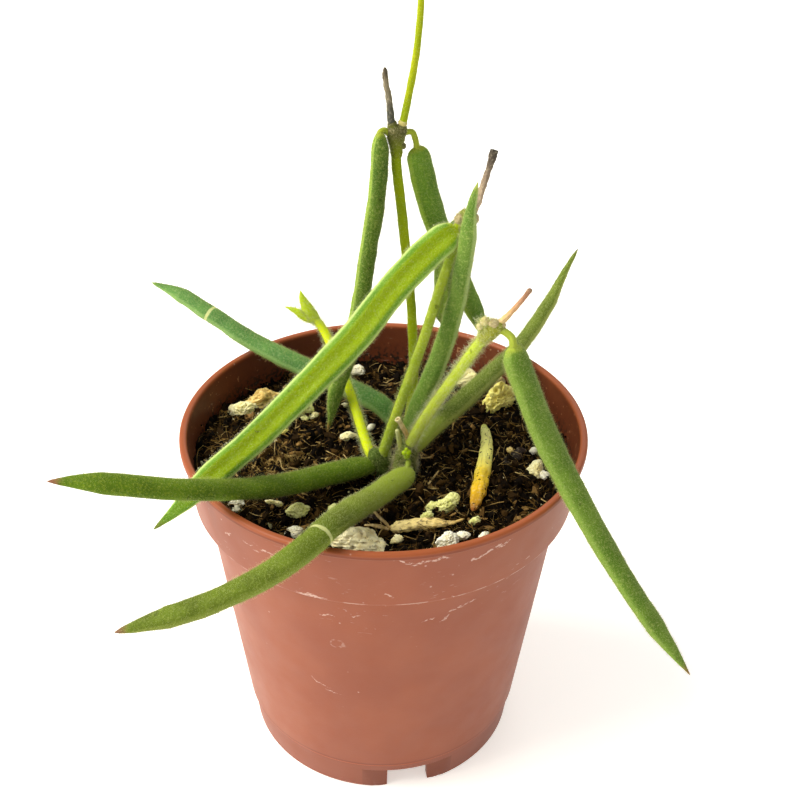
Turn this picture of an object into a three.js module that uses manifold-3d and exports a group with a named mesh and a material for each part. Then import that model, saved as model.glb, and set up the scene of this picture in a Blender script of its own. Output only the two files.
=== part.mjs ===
// A potted hoya: a rooted plant with narrow, velvety leaves in a round 60 mm nursery pot.
// Millimetres, +Z up, -Y is the front. The origin is the centre of the pot's foot.

import * as THREE from 'three';
import Module from 'manifold-3d';
import { mergeVertices } from 'three/addons/utils/BufferGeometryUtils.js';

const wasm = await Module();
wasm.setup();

// ---------------------------------------------------------------------------------------------
// Driving dimensions
// ---------------------------------------------------------------------------------------------

const GAP = 0.3;              // air between two pieces that touch on the real plant
const MERGE = 1e-4;           // vertices closer than this are one

const POT = {
  height: 55.4,
  rimRadius: 30,              // outside of the lip, so the pot is 60 mm across
  lipWidth: 1.1,              // flat top face of the lip
  lipHeight: 0.9,
  collarHeight: 10,
  collarFootRadius: 28.56,    // outside of the collar at its lower edge
  bodyTopRadius: 26.9,        // outside of the wall just under the collar
  bodyFootRadius: 22.17,      // outside of the wall at the step above the foot ring
  stepHeight: 6.14,
  footTopRadius: 21.9,
  footRadius: 21.3,
  footTopHeight: 5.5,
  wall: 1,
  floorTop: 5.9,
  floorUnderside: 4.9,
  footRingWall: 1.8,
  edge: 0.35,                 // size of the small bevels on the collar and the lip
  facets: 72,
};
const NOTCH = {
  count: 3,                   // one at the front, the others a third of a turn apart
  turn: THREE.MathUtils.degToRad(11.3),
  width: 14.2,                 // shallow recess in the face of the foot ring
  recess: 0.7,
  passage: 6.6,               // opening right through the ring, in the middle of the recess
  height: 4.4,
};
const DRAIN = { count: 3, radius: 2.6, circle: 12 };

const SOIL = {
  edgeHeight: 49,             // where the soil meets the wall
  middleHeight: 49.1,
  unevenness: 0.5,
  rings: 8,
  facets: 36,
};

const STEM_SIDES = 8;
const LEAF_SIDES = 10;
const LEAF_RINGS = 16;
const CHANNEL = 0.45;         // depth of the leaves' underside channel, as a share of half their thickness
const PETIOLE = 0.75;         // thickness of a leaf's stalk

const COLOUR = {
  terracotta: 0xa8604a,
  peat: 0x2f2019,
  crown: 0x6d7238,
  stem: 0x8aa51e,
  shoot: 0xb6d20c,
  node: 0xa79a63,
  velvet: 0x557a35,
  olive: 0x6f8238,
  bluish: 0x4d7a4c,
  light: 0x7fa52c,
  dead: 0x8d7358,
  straw: 0xc9a53c,
  husk: 0xb08a55,
  bark: 0x1d1613,
  perlite: 0xe6e0c8,
  pumice: 0xcfc77f,
};

// ---------------------------------------------------------------------------------------------
// Solids
// ---------------------------------------------------------------------------------------------

/** Merges a closed geometry's shared vertices and drops everything but their positions. */
function welded(geometry) {
  const bare = geometry.clone();
  bare.deleteAttribute('normal');
  bare.deleteAttribute('uv');
  return mergeVertices(bare, MERGE);
}

/** Sum of the tetrahedra that each triangle makes with the origin. */
function signedVolume(positions, triangles) {
  const corner = (i) => new THREE.Vector3().fromArray(positions, 3 * triangles[i]);
  let volume = 0;
  for (let i = 0; i < triangles.length; i += 3) {
    volume += corner(i).dot(corner(i + 1).cross(corner(i + 2))) / 6;
  }
  return volume;
}

/** Turns a closed geometry into a solid whose faces point outwards. */
function solidOf(geometry) {
  const mesh = welded(geometry);
  const vertProperties = new Float32Array(mesh.getAttribute('position').array);
  const triVerts = new Uint32Array(mesh.index.array);
  if (signedVolume(vertProperties, triVerts) < 0) {
    for (let i = 0; i < triVerts.length; i += 3) {
      [triVerts[i], triVerts[i + 1]] = [triVerts[i + 1], triVerts[i]];
    }
  }
  return new wasm.Manifold(new wasm.Mesh({ numProp: 3, vertProperties, triVerts }));
}

/** Gives a solid back as a geometry with its own vertices and triangles. */
function geometryOf(solid) {
  const mesh = solid.getMesh();
  const geometry = new THREE.BufferGeometry();
  geometry.setAttribute('position', new THREE.BufferAttribute(new Float32Array(mesh.vertProperties), 3));
  geometry.setIndex(new THREE.BufferAttribute(new Uint32Array(mesh.triVerts), 1));
  geometry.computeVertexNormals();
  return geometry;
}

/** A solid whose surface stands a gap outside the given solid's, along its vertex normals. */
function grown(solid) {
  const geometry = geometryOf(solid);
  const position = geometry.getAttribute('position');
  const normal = geometry.getAttribute('normal');
  const point = new THREE.Vector3();
  const push = new THREE.Vector3();
  for (let i = 0; i < position.count; i += 1) {
    push.fromBufferAttribute(normal, i).multiplyScalar(GAP);
    point.fromBufferAttribute(position, i).add(push);
    position.setXYZ(i, point.x, point.y, point.z);
  }
  return solidOf(geometry);
}

/** Joins simple solids, and their grown versions, into one shape: { body, clearance }. */
function shapeOf(...simple) {
  const join = (solids) => solids.reduce((whole, solid) => whole.add(solid));
  return { body: join(simple), clearance: join(simple.map(grown)) };
}

/** The largest of the bodies that a cut left. */
function largestBody(solid) {
  return solid.decompose().reduce((best, body) => (body.volume() > best.volume() ? body : best));
}

/** A fixed sequence of numbers between 0 and 1 for uneven natural shapes. */
function sequence(seed) {
  let state = seed;
  return () => {
    state = (state * 16807) % 2147483647;
    return state / 2147483647;
  };
}

// ---------------------------------------------------------------------------------------------
// Limbs: a lathe spindle bent along a route
// ---------------------------------------------------------------------------------------------

/** Spindle of unit length along +Y, closed on its axis at both ends. */
function spindle(radiusAt, stations, sides) {
  const outline = stations.map((t) => new THREE.Vector2(radiusAt(t), t));
  outline[0].x = 0;
  outline[outline.length - 1].x = 0;
  return new THREE.LatheGeometry(outline, sides);
}

/** Bends a unit spindle along a route; `top` is where its upper face looks. */
function bendAlong(geometry, route, top, width, thickness, channel = 0) {
  const points = route.map((p) => new THREE.Vector3(...p));
  const curve = new THREE.CatmullRomCurve3(points, false, 'centripetal');
  const upward = new THREE.Vector3(...top);
  const position = geometry.getAttribute('position');
  const local = new THREE.Vector3();
  for (let i = 0; i < position.count; i += 1) {
    local.fromBufferAttribute(position, i);
    const t = THREE.MathUtils.clamp(local.y, 0, 1);
    const tangent = curve.getTangentAt(t);
    const side = tangent.clone().cross(upward).normalize();
    const up = side.clone().cross(tangent);
    const under = Math.max(0, -local.z) * Math.exp(-((local.x / 0.45) ** 2));
    const place = curve.getPointAt(t);
    place.addScaledVector(side, local.x * width / 2);
    place.addScaledVector(up, (local.z + channel * under) * thickness / 2);
    position.setXYZ(i, place.x, place.y, place.z);
  }
  return geometry;
}

/** Stations from 0 to 1, closer together near both ends. */
function stationsOf(rings) {
  return Array.from({ length: rings + 1 }, (_, i) => (1 - Math.cos(Math.PI * i / rings)) / 2);
}

/** A round stem or stub that thins from `base` to `tip` (diameters) and has rounded ends. */
function stem(route, { base, tip, rings = 10, sides = STEM_SIDES, end = 0.03 }) {
  const radiusAt = (t) => {
    const nearEnd = Math.min(1, Math.min(t, 1 - t) / end);
    return (base + (tip - base) * t) / base * Math.sqrt(nearEnd * (2 - nearEnd));
  };
  const body = spindle(radiusAt, stationsOf(rings), sides);
  return solidOf(bendAlong(body, route, [0.1, 0.2, 1], base, base));
}

/**
 * A leaf blade with a channel along its underside. It fills out over its first part `blunt`,
 * thins by `narrow` of its width over the last two thirds, and is drawn out to a point over `point`.
 */
function blade(route, { width, thickness, top = [0, 0, 1], blunt = 0.06, narrow = 0.25, point = 0.18 }) {
  const radiusAt = (t) => {
    const base = Math.min(1, t / blunt);
    const thinning = 1 - narrow * Math.max(0, (t - 0.35) / 0.65);
    const tip = Math.min(1, (1 - t) / point) ** 0.7;
    return Math.sqrt(base * (2 - base)) * thinning * tip;
  };
  const body = spindle(radiusAt, stationsOf(LEAF_RINGS), LEAF_SIDES);
  return solidOf(bendAlong(body, route, top, width, thickness, CHANNEL));
}

/** An egg-shaped swelling between two points, widest at `belly` of its length. */
function swelling({ from, to, diameter, belly = 0.5 }) {
  const bend = Math.log(0.5) / Math.log(belly);
  const radiusAt = (t) => Math.sin(Math.PI * t ** bend);
  const body = spindle(radiusAt, stationsOf(7), 10);
  return solidOf(bendAlong(body, [from, to], [1, 0.3, 0], diameter, diameter));
}

/** A rough grain: a faceted ball, dented at random, stretched and turned. */
function grain({ at, size, turn = 0 }, seed) {
  const random = sequence(seed);
  const geometry = welded(new THREE.IcosahedronGeometry(0.5, 1));
  const position = geometry.getAttribute('position');
  const point = new THREE.Vector3();
  for (let i = 0; i < position.count; i += 1) {
    point.fromBufferAttribute(position, i).multiplyScalar(0.88 + 0.24 * random());
    position.setXYZ(i, point.x, point.y, point.z);
  }
  geometry.scale(...size);
  geometry.rotateZ(turn);
  geometry.translate(...at);
  return solidOf(geometry);
}

// ---------------------------------------------------------------------------------------------
// Pot and soil
// ---------------------------------------------------------------------------------------------

/** Inside radius of the pot's wall at a height. */
function wallInside(z) {
  const collarFoot = POT.height - POT.collarHeight;
  const inCollar = z > collarFoot;
  const [low, high] = inCollar ? [collarFoot, POT.height] : [POT.stepHeight, collarFoot];
  const [narrow, wide] = inCollar
    ? [POT.collarFootRadius - POT.wall, POT.rimRadius - POT.lipWidth]
    : [POT.bodyFootRadius - POT.wall, POT.bodyTopRadius - POT.wall];
  return narrow + (wide - narrow) * (z - low) / (high - low);
}

/** The pot turned from one outline: foot ring, raised floor, wall, collar and lip. */
function potShell() {
  const p = POT;
  const collarFoot = p.height - p.collarHeight;
  const outline = [
    [0, p.floorUnderside],
    [p.footRadius - p.footRingWall, p.floorUnderside],
    [p.footRadius - p.footRingWall, 0],
    [p.footRadius, 0],
    [p.footTopRadius, p.footTopHeight],
    [p.bodyFootRadius, p.stepHeight],
    [p.bodyTopRadius, collarFoot],
    [p.collarFootRadius - p.edge, collarFoot],
    [p.collarFootRadius, collarFoot + p.edge],
    [p.rimRadius - p.edge / 4, p.height - p.lipHeight],
    [p.rimRadius, p.height - p.edge],
    [p.rimRadius - p.edge, p.height],
    [p.rimRadius - p.lipWidth + p.edge, p.height],
    [p.rimRadius - p.lipWidth, p.height - p.edge],
    [wallInside(collarFoot + 1), collarFoot + 1],
    [wallInside(collarFoot), collarFoot],
    [wallInside(p.floorTop + 1.5), p.floorTop + 1.5],
    [wallInside(p.floorTop) - 1.2, p.floorTop],
    [0, p.floorTop],
  ].map(([r, z]) => new THREE.Vector2(r, z));
  const shell = new THREE.LatheGeometry(outline, p.facets);
  shell.rotateX(Math.PI / 2);
  return solidOf(shell);
}

/** A cutting block from just under z = 0 up to `height`, between two radii, turned to an angle. */
function radialBlock({ width, inner, outer, height, angle }) {
  const below = 0.5;
  const block = new THREE.BoxGeometry(outer - inner, width, height + below);
  block.translate((inner + outer) / 2, 0, (height - below) / 2);
  block.rotateZ(angle);
  return solidOf(block);
}

/** A round hole through the pot's floor. */
function drainHole(angle) {
  const hole = new THREE.CylinderGeometry(DRAIN.radius, DRAIN.radius, 4, 16);
  hole.rotateX(Math.PI / 2);
  hole.translate(DRAIN.circle * Math.cos(angle), DRAIN.circle * Math.sin(angle), POT.floorTop);
  return solidOf(hole);
}

/** The pot with its notched foot ring and drained floor. */
function makePot() {
  const front = -Math.PI / 2 + NOTCH.turn;
  const outer = POT.footTopRadius + 1;
  let pot = potShell();
  for (let i = 0; i < NOTCH.count; i += 1) {
    const angle = front + i * 2 * Math.PI / NOTCH.count;
    const recess = { width: NOTCH.width, inner: POT.footRadius - NOTCH.recess, outer, height: NOTCH.height, angle };
    const passage = { ...recess, width: NOTCH.passage, inner: POT.footRadius - 2 * POT.footRingWall };
    pot = pot.subtract(radialBlock(recess)).subtract(radialBlock(passage));
  }
  for (let i = 0; i < DRAIN.count; i += 1) {
    pot = pot.subtract(drainHole(front + (i + 0.5) * 2 * Math.PI / DRAIN.count));
  }
  return pot;
}

/** The plug of soil: it fills the pot to the wall, with an uneven top. */
function makeSoil() {
  const inside = (z) => wallInside(z) - 1.2 * GAP;
  const floor = POT.floorTop + GAP;
  const collarFoot = POT.height - POT.collarHeight;
  const outline = [
    new THREE.Vector2(0, floor),
    new THREE.Vector2(inside(floor) - 1.4, floor),
    new THREE.Vector2(inside(floor + 1.6), floor + 1.6),
    new THREE.Vector2(inside(collarFoot), collarFoot),
    new THREE.Vector2(inside(collarFoot + 1), collarFoot + 1),
  ];
  for (let i = 0; i <= SOIL.rings; i += 1) {
    const inward = i / SOIL.rings;
    const height = SOIL.edgeHeight + (SOIL.middleHeight - SOIL.edgeHeight) * inward;
    outline.push(new THREE.Vector2(inside(SOIL.edgeHeight) * (1 - inward), height));
  }
  const plug = welded(new THREE.LatheGeometry(outline, SOIL.facets).rotateX(Math.PI / 2));
  const random = sequence(11);
  const position = plug.getAttribute('position');
  for (let i = 0; i < position.count; i += 1) {
    const radius = Math.hypot(position.getX(i), position.getY(i));
    const onTop = position.getZ(i) >= SOIL.edgeHeight && radius < inside(SOIL.edgeHeight) - 1;
    const bump = onTop ? SOIL.unevenness * (random() - 0.5) : 0;
    position.setZ(i, position.getZ(i) + bump);
  }
  return solidOf(plug);
}

// ---------------------------------------------------------------------------------------------
// The plant: routes are lists of points from the base of a piece to its end
// ---------------------------------------------------------------------------------------------

// The rooted base: three knots where the stems leave, joined by the buried rootstock.
const CROWN = [
  { from: [2.4, -3.4, 44.5], to: [3.5, -4.8, 55.6], diameter: 3.9 },
  { from: [0.6, -2.4, 44.5], to: [-1.3, -3.2, 52.4], diameter: 3.8 },
  { from: [2.4, 2.2, 44.5], to: [3.4, 5, 53], diameter: 3.6 },
  { from: [1.2, -6, 45.4], to: [2.6, 6, 45.4], diameter: 6 },
];

const NODES = {
  node_top: { from: [1.6, 8, 93.7], to: [1.5, 8, 98.7], diameter: 2.6, belly: 0.64 },
  node_middle: { from: [9.6, -2.9, 86.6], to: [11.1, -2.4, 91.6], diameter: 3, belly: 0.52 },
  node_right: { from: [12.2, -13.2, 77.8], to: [15.3, -14.2, 80.9], diameter: 3, belly: 0.52 },
};

const STEMS = {
  stem_back_lower: {
    route: [
      [3.4, 4.8, 50], [4.4, 5.8, 58.2], [4.2, 6.3, 65.8], [3.8, 6.7, 72.3], [3.2, 7, 77.8],
      [2.1, 7.6, 87.5], [1.6, 8, 95.5],
    ],
    base: 1.5, tip: 1.15, clear: ['crown', 'node_top'], colour: COLOUR.stem,
  },
  stem_middle: {
    route: [
      [-0.6, -3, 50.2], [2.4, -3.2, 61.1], [5.2, -3.2, 70.6], [7.3, -3.1, 78.8], [8.8, -3, 84.3],
      [10.1, -2.8, 88.3],
    ],
    base: 1.6, tip: 1.3, clear: ['crown', 'node_middle'], colour: COLOUR.stem,
  },
  stem_right: {
    route: [
      [3.2, -4.5, 54], [6.7, -7, 62.6], [9.9, -10.1, 70.5], [11.7, -12.2, 75.2], [13.4, -13.6, 79],
    ],
    base: 1.8, tip: 1.5, clear: ['crown', 'node_right'], colour: COLOUR.stem,
  },
  young_shoot: {
    route: [
      [-0.9, -3, 49.6], [-2, -2.2, 51.3], [-4, 1.8, 55.6], [-5.2, 4.6, 58], [-8.1, 10, 62.6],
      [-9.5, 11.6, 64.3], [-10.8, 12.5, 66.1],
    ],
    base: 1.5, tip: 1.1, clear: ['crown', 'stem_middle'], colour: COLOUR.shoot,
  },
  stub_top: {
    route: [[1.3, 8, 96.6], [0.8, 8, 99.1], [0.4, 8, 101.8], [0, 8, 103.8], [-0.1, 8, 105.8]],
    base: 0.85, tip: 0.7, clear: ['node_top'], colour: COLOUR.dead, rings: 8,
  },
  stub_middle: {
    route: [[10.6, -2.6, 89.2], [11.7, -2.2, 91.5], [12.4, -1.6, 93.6], [13.2, -1.1, 96], [14, -0.7, 98.1]],
    base: 1.1, tip: 0.8, clear: ['node_middle'], colour: COLOUR.dead, rings: 8,
  },
  stub_right: {
    route: [[13.9, -13.7, 79.4], [15.4, -13.6, 80.9], [16.8, -13.3, 82.5], [18.4, -13, 84.6]],
    base: 0.8, tip: 0.6, clear: ['node_right'], colour: COLOUR.husk, rings: 7,
  },
  stub_crown_tall: {
    route: [[2.9, -4.8, 53.8], [2.75, -5.3, 56], [2.5, -5.4, 57.9], [2, -5.3, 59.7]],
    base: 0.75, tip: 0.85, clear: ['crown', 'stem_right', 'stem_middle'], colour: COLOUR.husk, rings: 6,
  },
  stub_crown_short: {
    route: [[2.1, -4.7, 52.6], [1.7, -5.3, 55.4], [1.5, -5.4, 57.5]],
    base: 0.6, tip: 0.5, clear: ['crown', 'stub_crown_tall'], colour: COLOUR.straw, rings: 6,
  },
  petiole_bud: {
    route: [[3.2, -4.8, 52.8], [3.4, -6.1, 53.6], [3.4, -6.8, 54.6]],
    base: 1.2, tip: 0.8, clear: ['crown', 'stem_right'], colour: COLOUR.shoot, rings: 6, end: 0.3,
  },
};

const UPPER_STEM = {
  route: [
    [2, 8, 96.6], [2.4, 8, 98.8], [2.9, 8.1, 101.5], [3.8, 8.3, 106.8], [4.2, 8.4, 110.7],
    [4.4, 8.5, 114.4], [4.3, 8.6, 119],
  ],
  base: 1, tip: 0.85, rings: 12,
  tipBud: { from: [4.35, 8.6, 117.4], to: [4.1, 8.7, 122], diameter: 1.5, belly: 0.35 },
};

const LEAVES = {
  leaf_top_left: {
    petiole: [[1.1, 8, 96.6], [0.1, 7.5, 97.7], [-0.6, 7.1, 97.8], [-0.6, 6.8, 95.4]],
    route: [
      [-0.5, 6.9, 97], [-0.6, 6.7, 94.8], [-1.3, 6.1, 88.1], [-2.4, 5.4, 80.9], [-3.5, 4.6, 73.3],
      [-5.4, 3.4, 64.7], [-7.2, 2.4, 59.4], [-8.4, 1.2, 53.1],
    ],
    width: 3, thickness: 2.6, top: [0.85, 0.5, 0.1], narrow: 0.08, point: 0.14,
    clear: ['node_top', 'stub_top'], colour: COLOUR.velvet,
  },
  leaf_top_right: {
    petiole: [[1.9, 8, 96.6], [3.1, 8.2, 97], [3.9, 8.4, 96.2], [4.2, 8.6, 93.8]],
    route: [
      [4, 8.6, 94.9], [4.3, 8.7, 93.9], [6.1, 9.3, 86.8], [8.5, 10.2, 79.7], [10.9, 11, 74],
      [13.7, 12.2, 67.3], [15.9, 13.6, 61.4],
    ],
    width: 3.5, thickness: 2.7, top: [0.3, -0.8, 0.5], narrow: 0.25,
    clear: ['node_top', 'stem_back_lower'], colour: COLOUR.bluish,
  },
  leaf_long_left: {
    petiole: [[10.2, -2.8, 89], [9.5, -3.3, 88.7], [7.8, -4.3, 87.3]],
    route: [
      [9.4, -3.6, 88.5], [8.2, -4.2, 87.8], [5.9, -5.2, 86.1], [2, -7, 82.5], [-4.4, -9.6, 74.9],
      [-10.8, -12.2, 68.7], [-17.4, -14.8, 62.6], [-23.5, -17.2, 57.8], [-27.6, -19.2, 54.3],
      [-31, -20.5, 51.6],
    ],
    width: 4.2, thickness: 2.8, top: [-0.1, 0.9, -0.3], narrow: 0.2, blunt: 0.1,
    clear: ['node_middle', 'stem_middle'], colour: COLOUR.light,
  },
  leaf_small_hanging: {
    route: [[10.1, -2.1, 88.8], [9, -0.4, 85.3], [8.1, 1.2, 80.3], [8.2, 3, 75.1], [8.6, 6, 68.4]],
    width: 2.5, thickness: 1.8, top: [0, 0.9, 0.3], narrow: 0.1, point: 0.13,
    clear: ['node_middle', 'stem_middle'], colour: COLOUR.velvet,
  },
  leaf_right_hanging: {
    petiole: [[14, -13.8, 79.6], [15.5, -14.4, 79.7], [16.1, -14.9, 78.8], [16.6, -15.2, 75.8]],
    route: [
      [16.2, -15, 77.6], [16.7, -15.2, 76], [19.1, -16.2, 70.1], [22.3, -17.6, 63.1],
      [26, -20, 56.7], [30, -22.8, 50.4], [34.5, -25.6, 44], [39.7, -28, 37], [42.4, -29.4, 33.6],
    ],
    width: 3.9, thickness: 3, top: [0.6, -0.6, 0.5], blunt: 0.05, narrow: 0.36, point: 0.16,
    clear: ['node_right', 'stub_right'], colour: COLOUR.velvet,
  },
  leaf_left_over_rim: {
    route: [
      [-0.9, -2.8, 49.9], [-2.2, -3.8, 50.3], [-4.9, -5.9, 51.1], [-8.4, -8.6, 52], [-11.7, -11.6, 53.1],
      [-18, -17.4, 56.3], [-23.8, -22.4, 59.9], [-29.6, -25, 62.2], [-35.5, -26.2, 63.8],
      [-41.9, -26.8, 64.5],
    ],
    width: 3.6, thickness: 2.7, top: [0, -0.2, 1], blunt: 0.1, narrow: 0.15, point: 0.22,
    clear: ['crown', 'young_shoot'], colour: COLOUR.velvet,
  },
  leaf_front_over_rim: {
    petiole: [[3, -4.4, 52.6], [3.6, -6.2, 52.6], [3, -7.8, 51.6]],
    route: [
      [4.2, -6.9, 51.7], [2.4, -9, 51.6], [-1.2, -14.4, 52.7], [-4.5, -21.2, 55.4],
      [-7.4, -27.6, 57.5], [-9, -30.6, 57.8], [-11, -31.9, 56.8], [-16.5, -34, 54], [-22.8, -35.2, 51.4],
      [-29.1, -35.8, 49.3], [-33.7, -36.1, 47.8],
    ],
    width: 3.6, thickness: 2.8, top: [0, -0.3, 1], narrow: 0.2,
    clear: ['crown', 'stem_right', 'petiole_bud'], colour: COLOUR.olive,
  },
  leaf_back_left: {
    route: [
      [2.6, 4.6, 51], [0, 7.2, 53.2], [-2.3, 8.6, 54], [-8.4, 11.8, 55.3], [-16.5, 15.8, 57.2],
      [-21.4, 18.6, 58.4], [-29.8, 24, 61.3], [-34.2, 27, 62.4], [-38.4, 29.5, 62.8],
    ],
    width: 3.4, thickness: 2.6, top: [0, -0.2, 1], blunt: 0.1, narrow: 0.28, point: 0.18,
    clear: ['crown', 'stem_back_lower'], colour: COLOUR.bluish,
  },
  leaf_back_right: {
    route: [
      [3.6, -3.8, 52], [5.3, -2.4, 53.6], [7, -0.8, 54.8], [11.5, 4.6, 55.8], [16.4, 11, 56.8],
      [22.1, 18.8, 58.1], [27.2, 27, 61.2], [29.9, 31.8, 63.9], [32.6, 36.2, 66.4],
    ],
    width: 2.8, thickness: 2.4, top: [-0.3, -0.3, 1], blunt: 0.14, narrow: 0.35, point: 0.24,
    clear: ['crown', 'stem_right'], colour: COLOUR.olive,
  },
  leaf_upright: {
    route: [
      [3.2, 3.4, 50.8], [4, 2.5, 53.6], [5.5, 1.7, 58.2], [8.2, -0.3, 68], [9.8, -3, 77.6],
      [10.5, -5.7, 86.4], [10.8, -7.9, 92.7], [11.3, -9.6, 97.6],
    ],
    width: 2.5, thickness: 2.3, top: [0.5, 0.8, 0], blunt: 0.16, narrow: 0.3, point: 0.24,
    clear: ['crown', 'stem_back_lower'], colour: COLOUR.bluish,
  },
  young_leaf_upper: {
    route: [[-10.5, 12.3, 65.6], [-11.9, 12.8, 67.8], [-12.8, 13.2, 70.2]],
    width: 1.6, thickness: 1, top: [0, -1, 0.4], blunt: 0.3, point: 0.5,
    clear: ['young_shoot'], colour: COLOUR.shoot,
  },
  young_leaf_lower: {
    route: [[-10.5, 12.3, 65.6], [-12.5, 12.4, 66.8], [-14.9, 12.2, 68.1]],
    width: 1.6, thickness: 1, top: [0, -0.4, 1], blunt: 0.3, point: 0.5,
    clear: ['young_shoot', 'young_leaf_upper'], colour: COLOUR.shoot,
  },
};

// What lies on the soil, half sunk into it.
const LITTER = {
  fallen_leaf: {
    route: [[15.5, 6.5, 50.3], [16.1, 0.8, 50.2], [15.3, -4.5, 50], [13.9, -9.5, 49.8], [12.7, -13.5, 49.7]],
    width: 2.3, thickness: 1.6, colour: COLOUR.straw,
  },
  dried_husk: {
    route: [[0.9, -18.3, 49.9], [3.2, -17.4, 50], [7.9, -17.4, 50.1], [12.1, -16.2, 49.9]],
    width: 2.2, thickness: 1.2, colour: COLOUR.husk,
  },
  twig_front: {
    route: [[-3.6, -13.4, 49.6], [-1.6, -15, 49.8], [0.2, -15.8, 49.7]],
    width: 0.9, thickness: 0.9, colour: COLOUR.bark,
  },
  bark_scrap: {
    route: [[17.9, -2.6, 49.5], [19.6, -1, 49.7], [21, 1.6, 49.6]],
    width: 2.2, thickness: 1.2, colour: COLOUR.bark,
  },
};

// Perlite and pumice grains: middle, size along X, Y and Z, and turn about Z.
const GRAINS = [
  { at: [-19.1, 13.6, 49.7], size: [5.8, 3.4, 2.8], turn: 0.5, colour: COLOUR.pumice },
  { at: [-21.9, 10.2, 49.5], size: [3.2, 2.4, 2], turn: 0.3, colour: COLOUR.perlite },
  { at: [-13.1, 10.7, 49.4], size: [3.6, 2.2, 1.9], turn: 0, colour: COLOUR.perlite },
  { at: [-12.1, -13.9, 49.4], size: [3.1, 2.2, 1.9], turn: 0.2, colour: COLOUR.pumice },
  { at: [-3.4, -21, 49.8], size: [7.6, 3.6, 2.9], turn: -0.1, colour: COLOUR.perlite },
  { at: [8.7, -21.4, 49.8], size: [3.1, 2.2, 2.4], turn: 0.3, colour: COLOUR.perlite },
  { at: [8.6, -12.8, 49.4], size: [4.2, 2.4, 1.7], turn: 0.3, colour: COLOUR.pumice },
  { at: [18.6, 14, 49.9], size: [5, 4.4, 3.8], turn: 0.6, colour: COLOUR.pumice },
  { at: [13.3, 20.1, 49.7], size: [4.2, 2.6, 2.6], turn: -0.2, colour: COLOUR.pumice },
  { at: [22.4, -4.4, 49.5], size: [2.4, 2.8, 2.1], turn: 0, colour: COLOUR.perlite },
  { at: [-4.5, 23.2, 49.4], size: [2.4, 2, 1.7], turn: 0, colour: COLOUR.perlite },
  { at: [3.7, 15.4, 49.5], size: [1.9, 1.8, 1.9], turn: 0, colour: COLOUR.perlite },
  { at: [-20.8, -12.4, 49.4], size: [2, 2, 1.7], turn: 0, colour: COLOUR.perlite },
  { at: [-12.2, -18.9, 49.5], size: [2.4, 1.8, 1.8], turn: 0.4, colour: COLOUR.perlite },
];

// ---------------------------------------------------------------------------------------------
// Assembly
// ---------------------------------------------------------------------------------------------

const group = new THREE.Group();
const clearances = new Map();

/** Adds a piece, cut back to leave air round the pieces named in `clear` that it grows from. */
function addPiece(name, { body, clearance }, { colour, roughness = 0.7, clear = [] }) {
  const cut = clear.reduce((left, other) => left.subtract(clearances.get(other)), body);
  const piece = clear.length ? largestBody(cut) : cut;
  const material = new THREE.MeshStandardMaterial({ color: colour, roughness, metalness: 0 });
  const mesh = new THREE.Mesh(geometryOf(piece), material);
  mesh.name = name;
  group.add(mesh);
  clearances.set(name, clearance);
}

/** A blade, joined to its petiole where it has one. */
function leafShape(leaf) {
  const whole = blade(leaf.route, leaf);
  if (!leaf.petiole) return shapeOf(whole);
  return shapeOf(whole, stem(leaf.petiole, { base: PETIOLE, tip: PETIOLE, rings: 6, sides: 6 }));
}

/** Everything that lies on the soil, as [name, shape, colour]. */
function litterShapes() {
  const scraps = Object.entries(LITTER).map(([name, scrap]) => {
    const solid = blade(scrap.route, { ...scrap, blunt: 0.2, point: 0.3 });
    return [name, shapeOf(solid), scrap.colour];
  });
  const grains = GRAINS.map((stone, i) => {
    const name = `grain_${String(i + 1).padStart(2, '0')}`;
    return [name, shapeOf(grain(stone, 101 + 37 * i)), stone.colour];
  });
  return [...scraps, ...grains];
}

addPiece('pot', { body: makePot() }, { colour: COLOUR.terracotta, roughness: 0.45 });
addPiece('crown', shapeOf(...CROWN.map(swelling)), { colour: COLOUR.crown, roughness: 0.9 });
for (const [name, node] of Object.entries(NODES)) {
  addPiece(name, shapeOf(swelling(node)), { colour: COLOUR.node, roughness: 0.9 });
}
for (const [name, part] of Object.entries(STEMS)) {
  addPiece(name, shapeOf(stem(part.route, part)), part);
}
const upperStem = shapeOf(stem(UPPER_STEM.route, UPPER_STEM), swelling(UPPER_STEM.tipBud));
addPiece('stem_back_upper', upperStem, { colour: COLOUR.stem, clear: ['node_top', 'stub_top'] });
for (const [name, leaf] of Object.entries(LEAVES)) {
  addPiece(name, leafShape(leaf), leaf);
}

const litter = litterShapes();
const pockets = [clearances.get('crown'), ...litter.map(([, shape]) => shape.clearance)];
const soil = pockets.reduce((left, pocket) => left.subtract(pocket), makeSoil());
addPiece('soil', { body: largestBody(soil) }, { colour: COLOUR.peat, roughness: 0.95 });
for (const [name, shape, colour] of litter) {
  addPiece(name, shape, { colour, roughness: 0.85 });
}

export default group;
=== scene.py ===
"""A potted hoya: narrow, velvety leaves on slender stems in a round 60 mm nursery pot.

Lengths are in millimetres until a mesh is made, which turns them into metres. +Z is up, -Y is the
front, and the origin is the centre of the pot's foot. Each sub-assembly is a class that shapes its
own pieces and gives them their finish.
"""
import logging
import math
from dataclasses import dataclass, replace
from enum import Enum

import bpy
import numpy as np
from mathutils import Matrix, Vector


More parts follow.
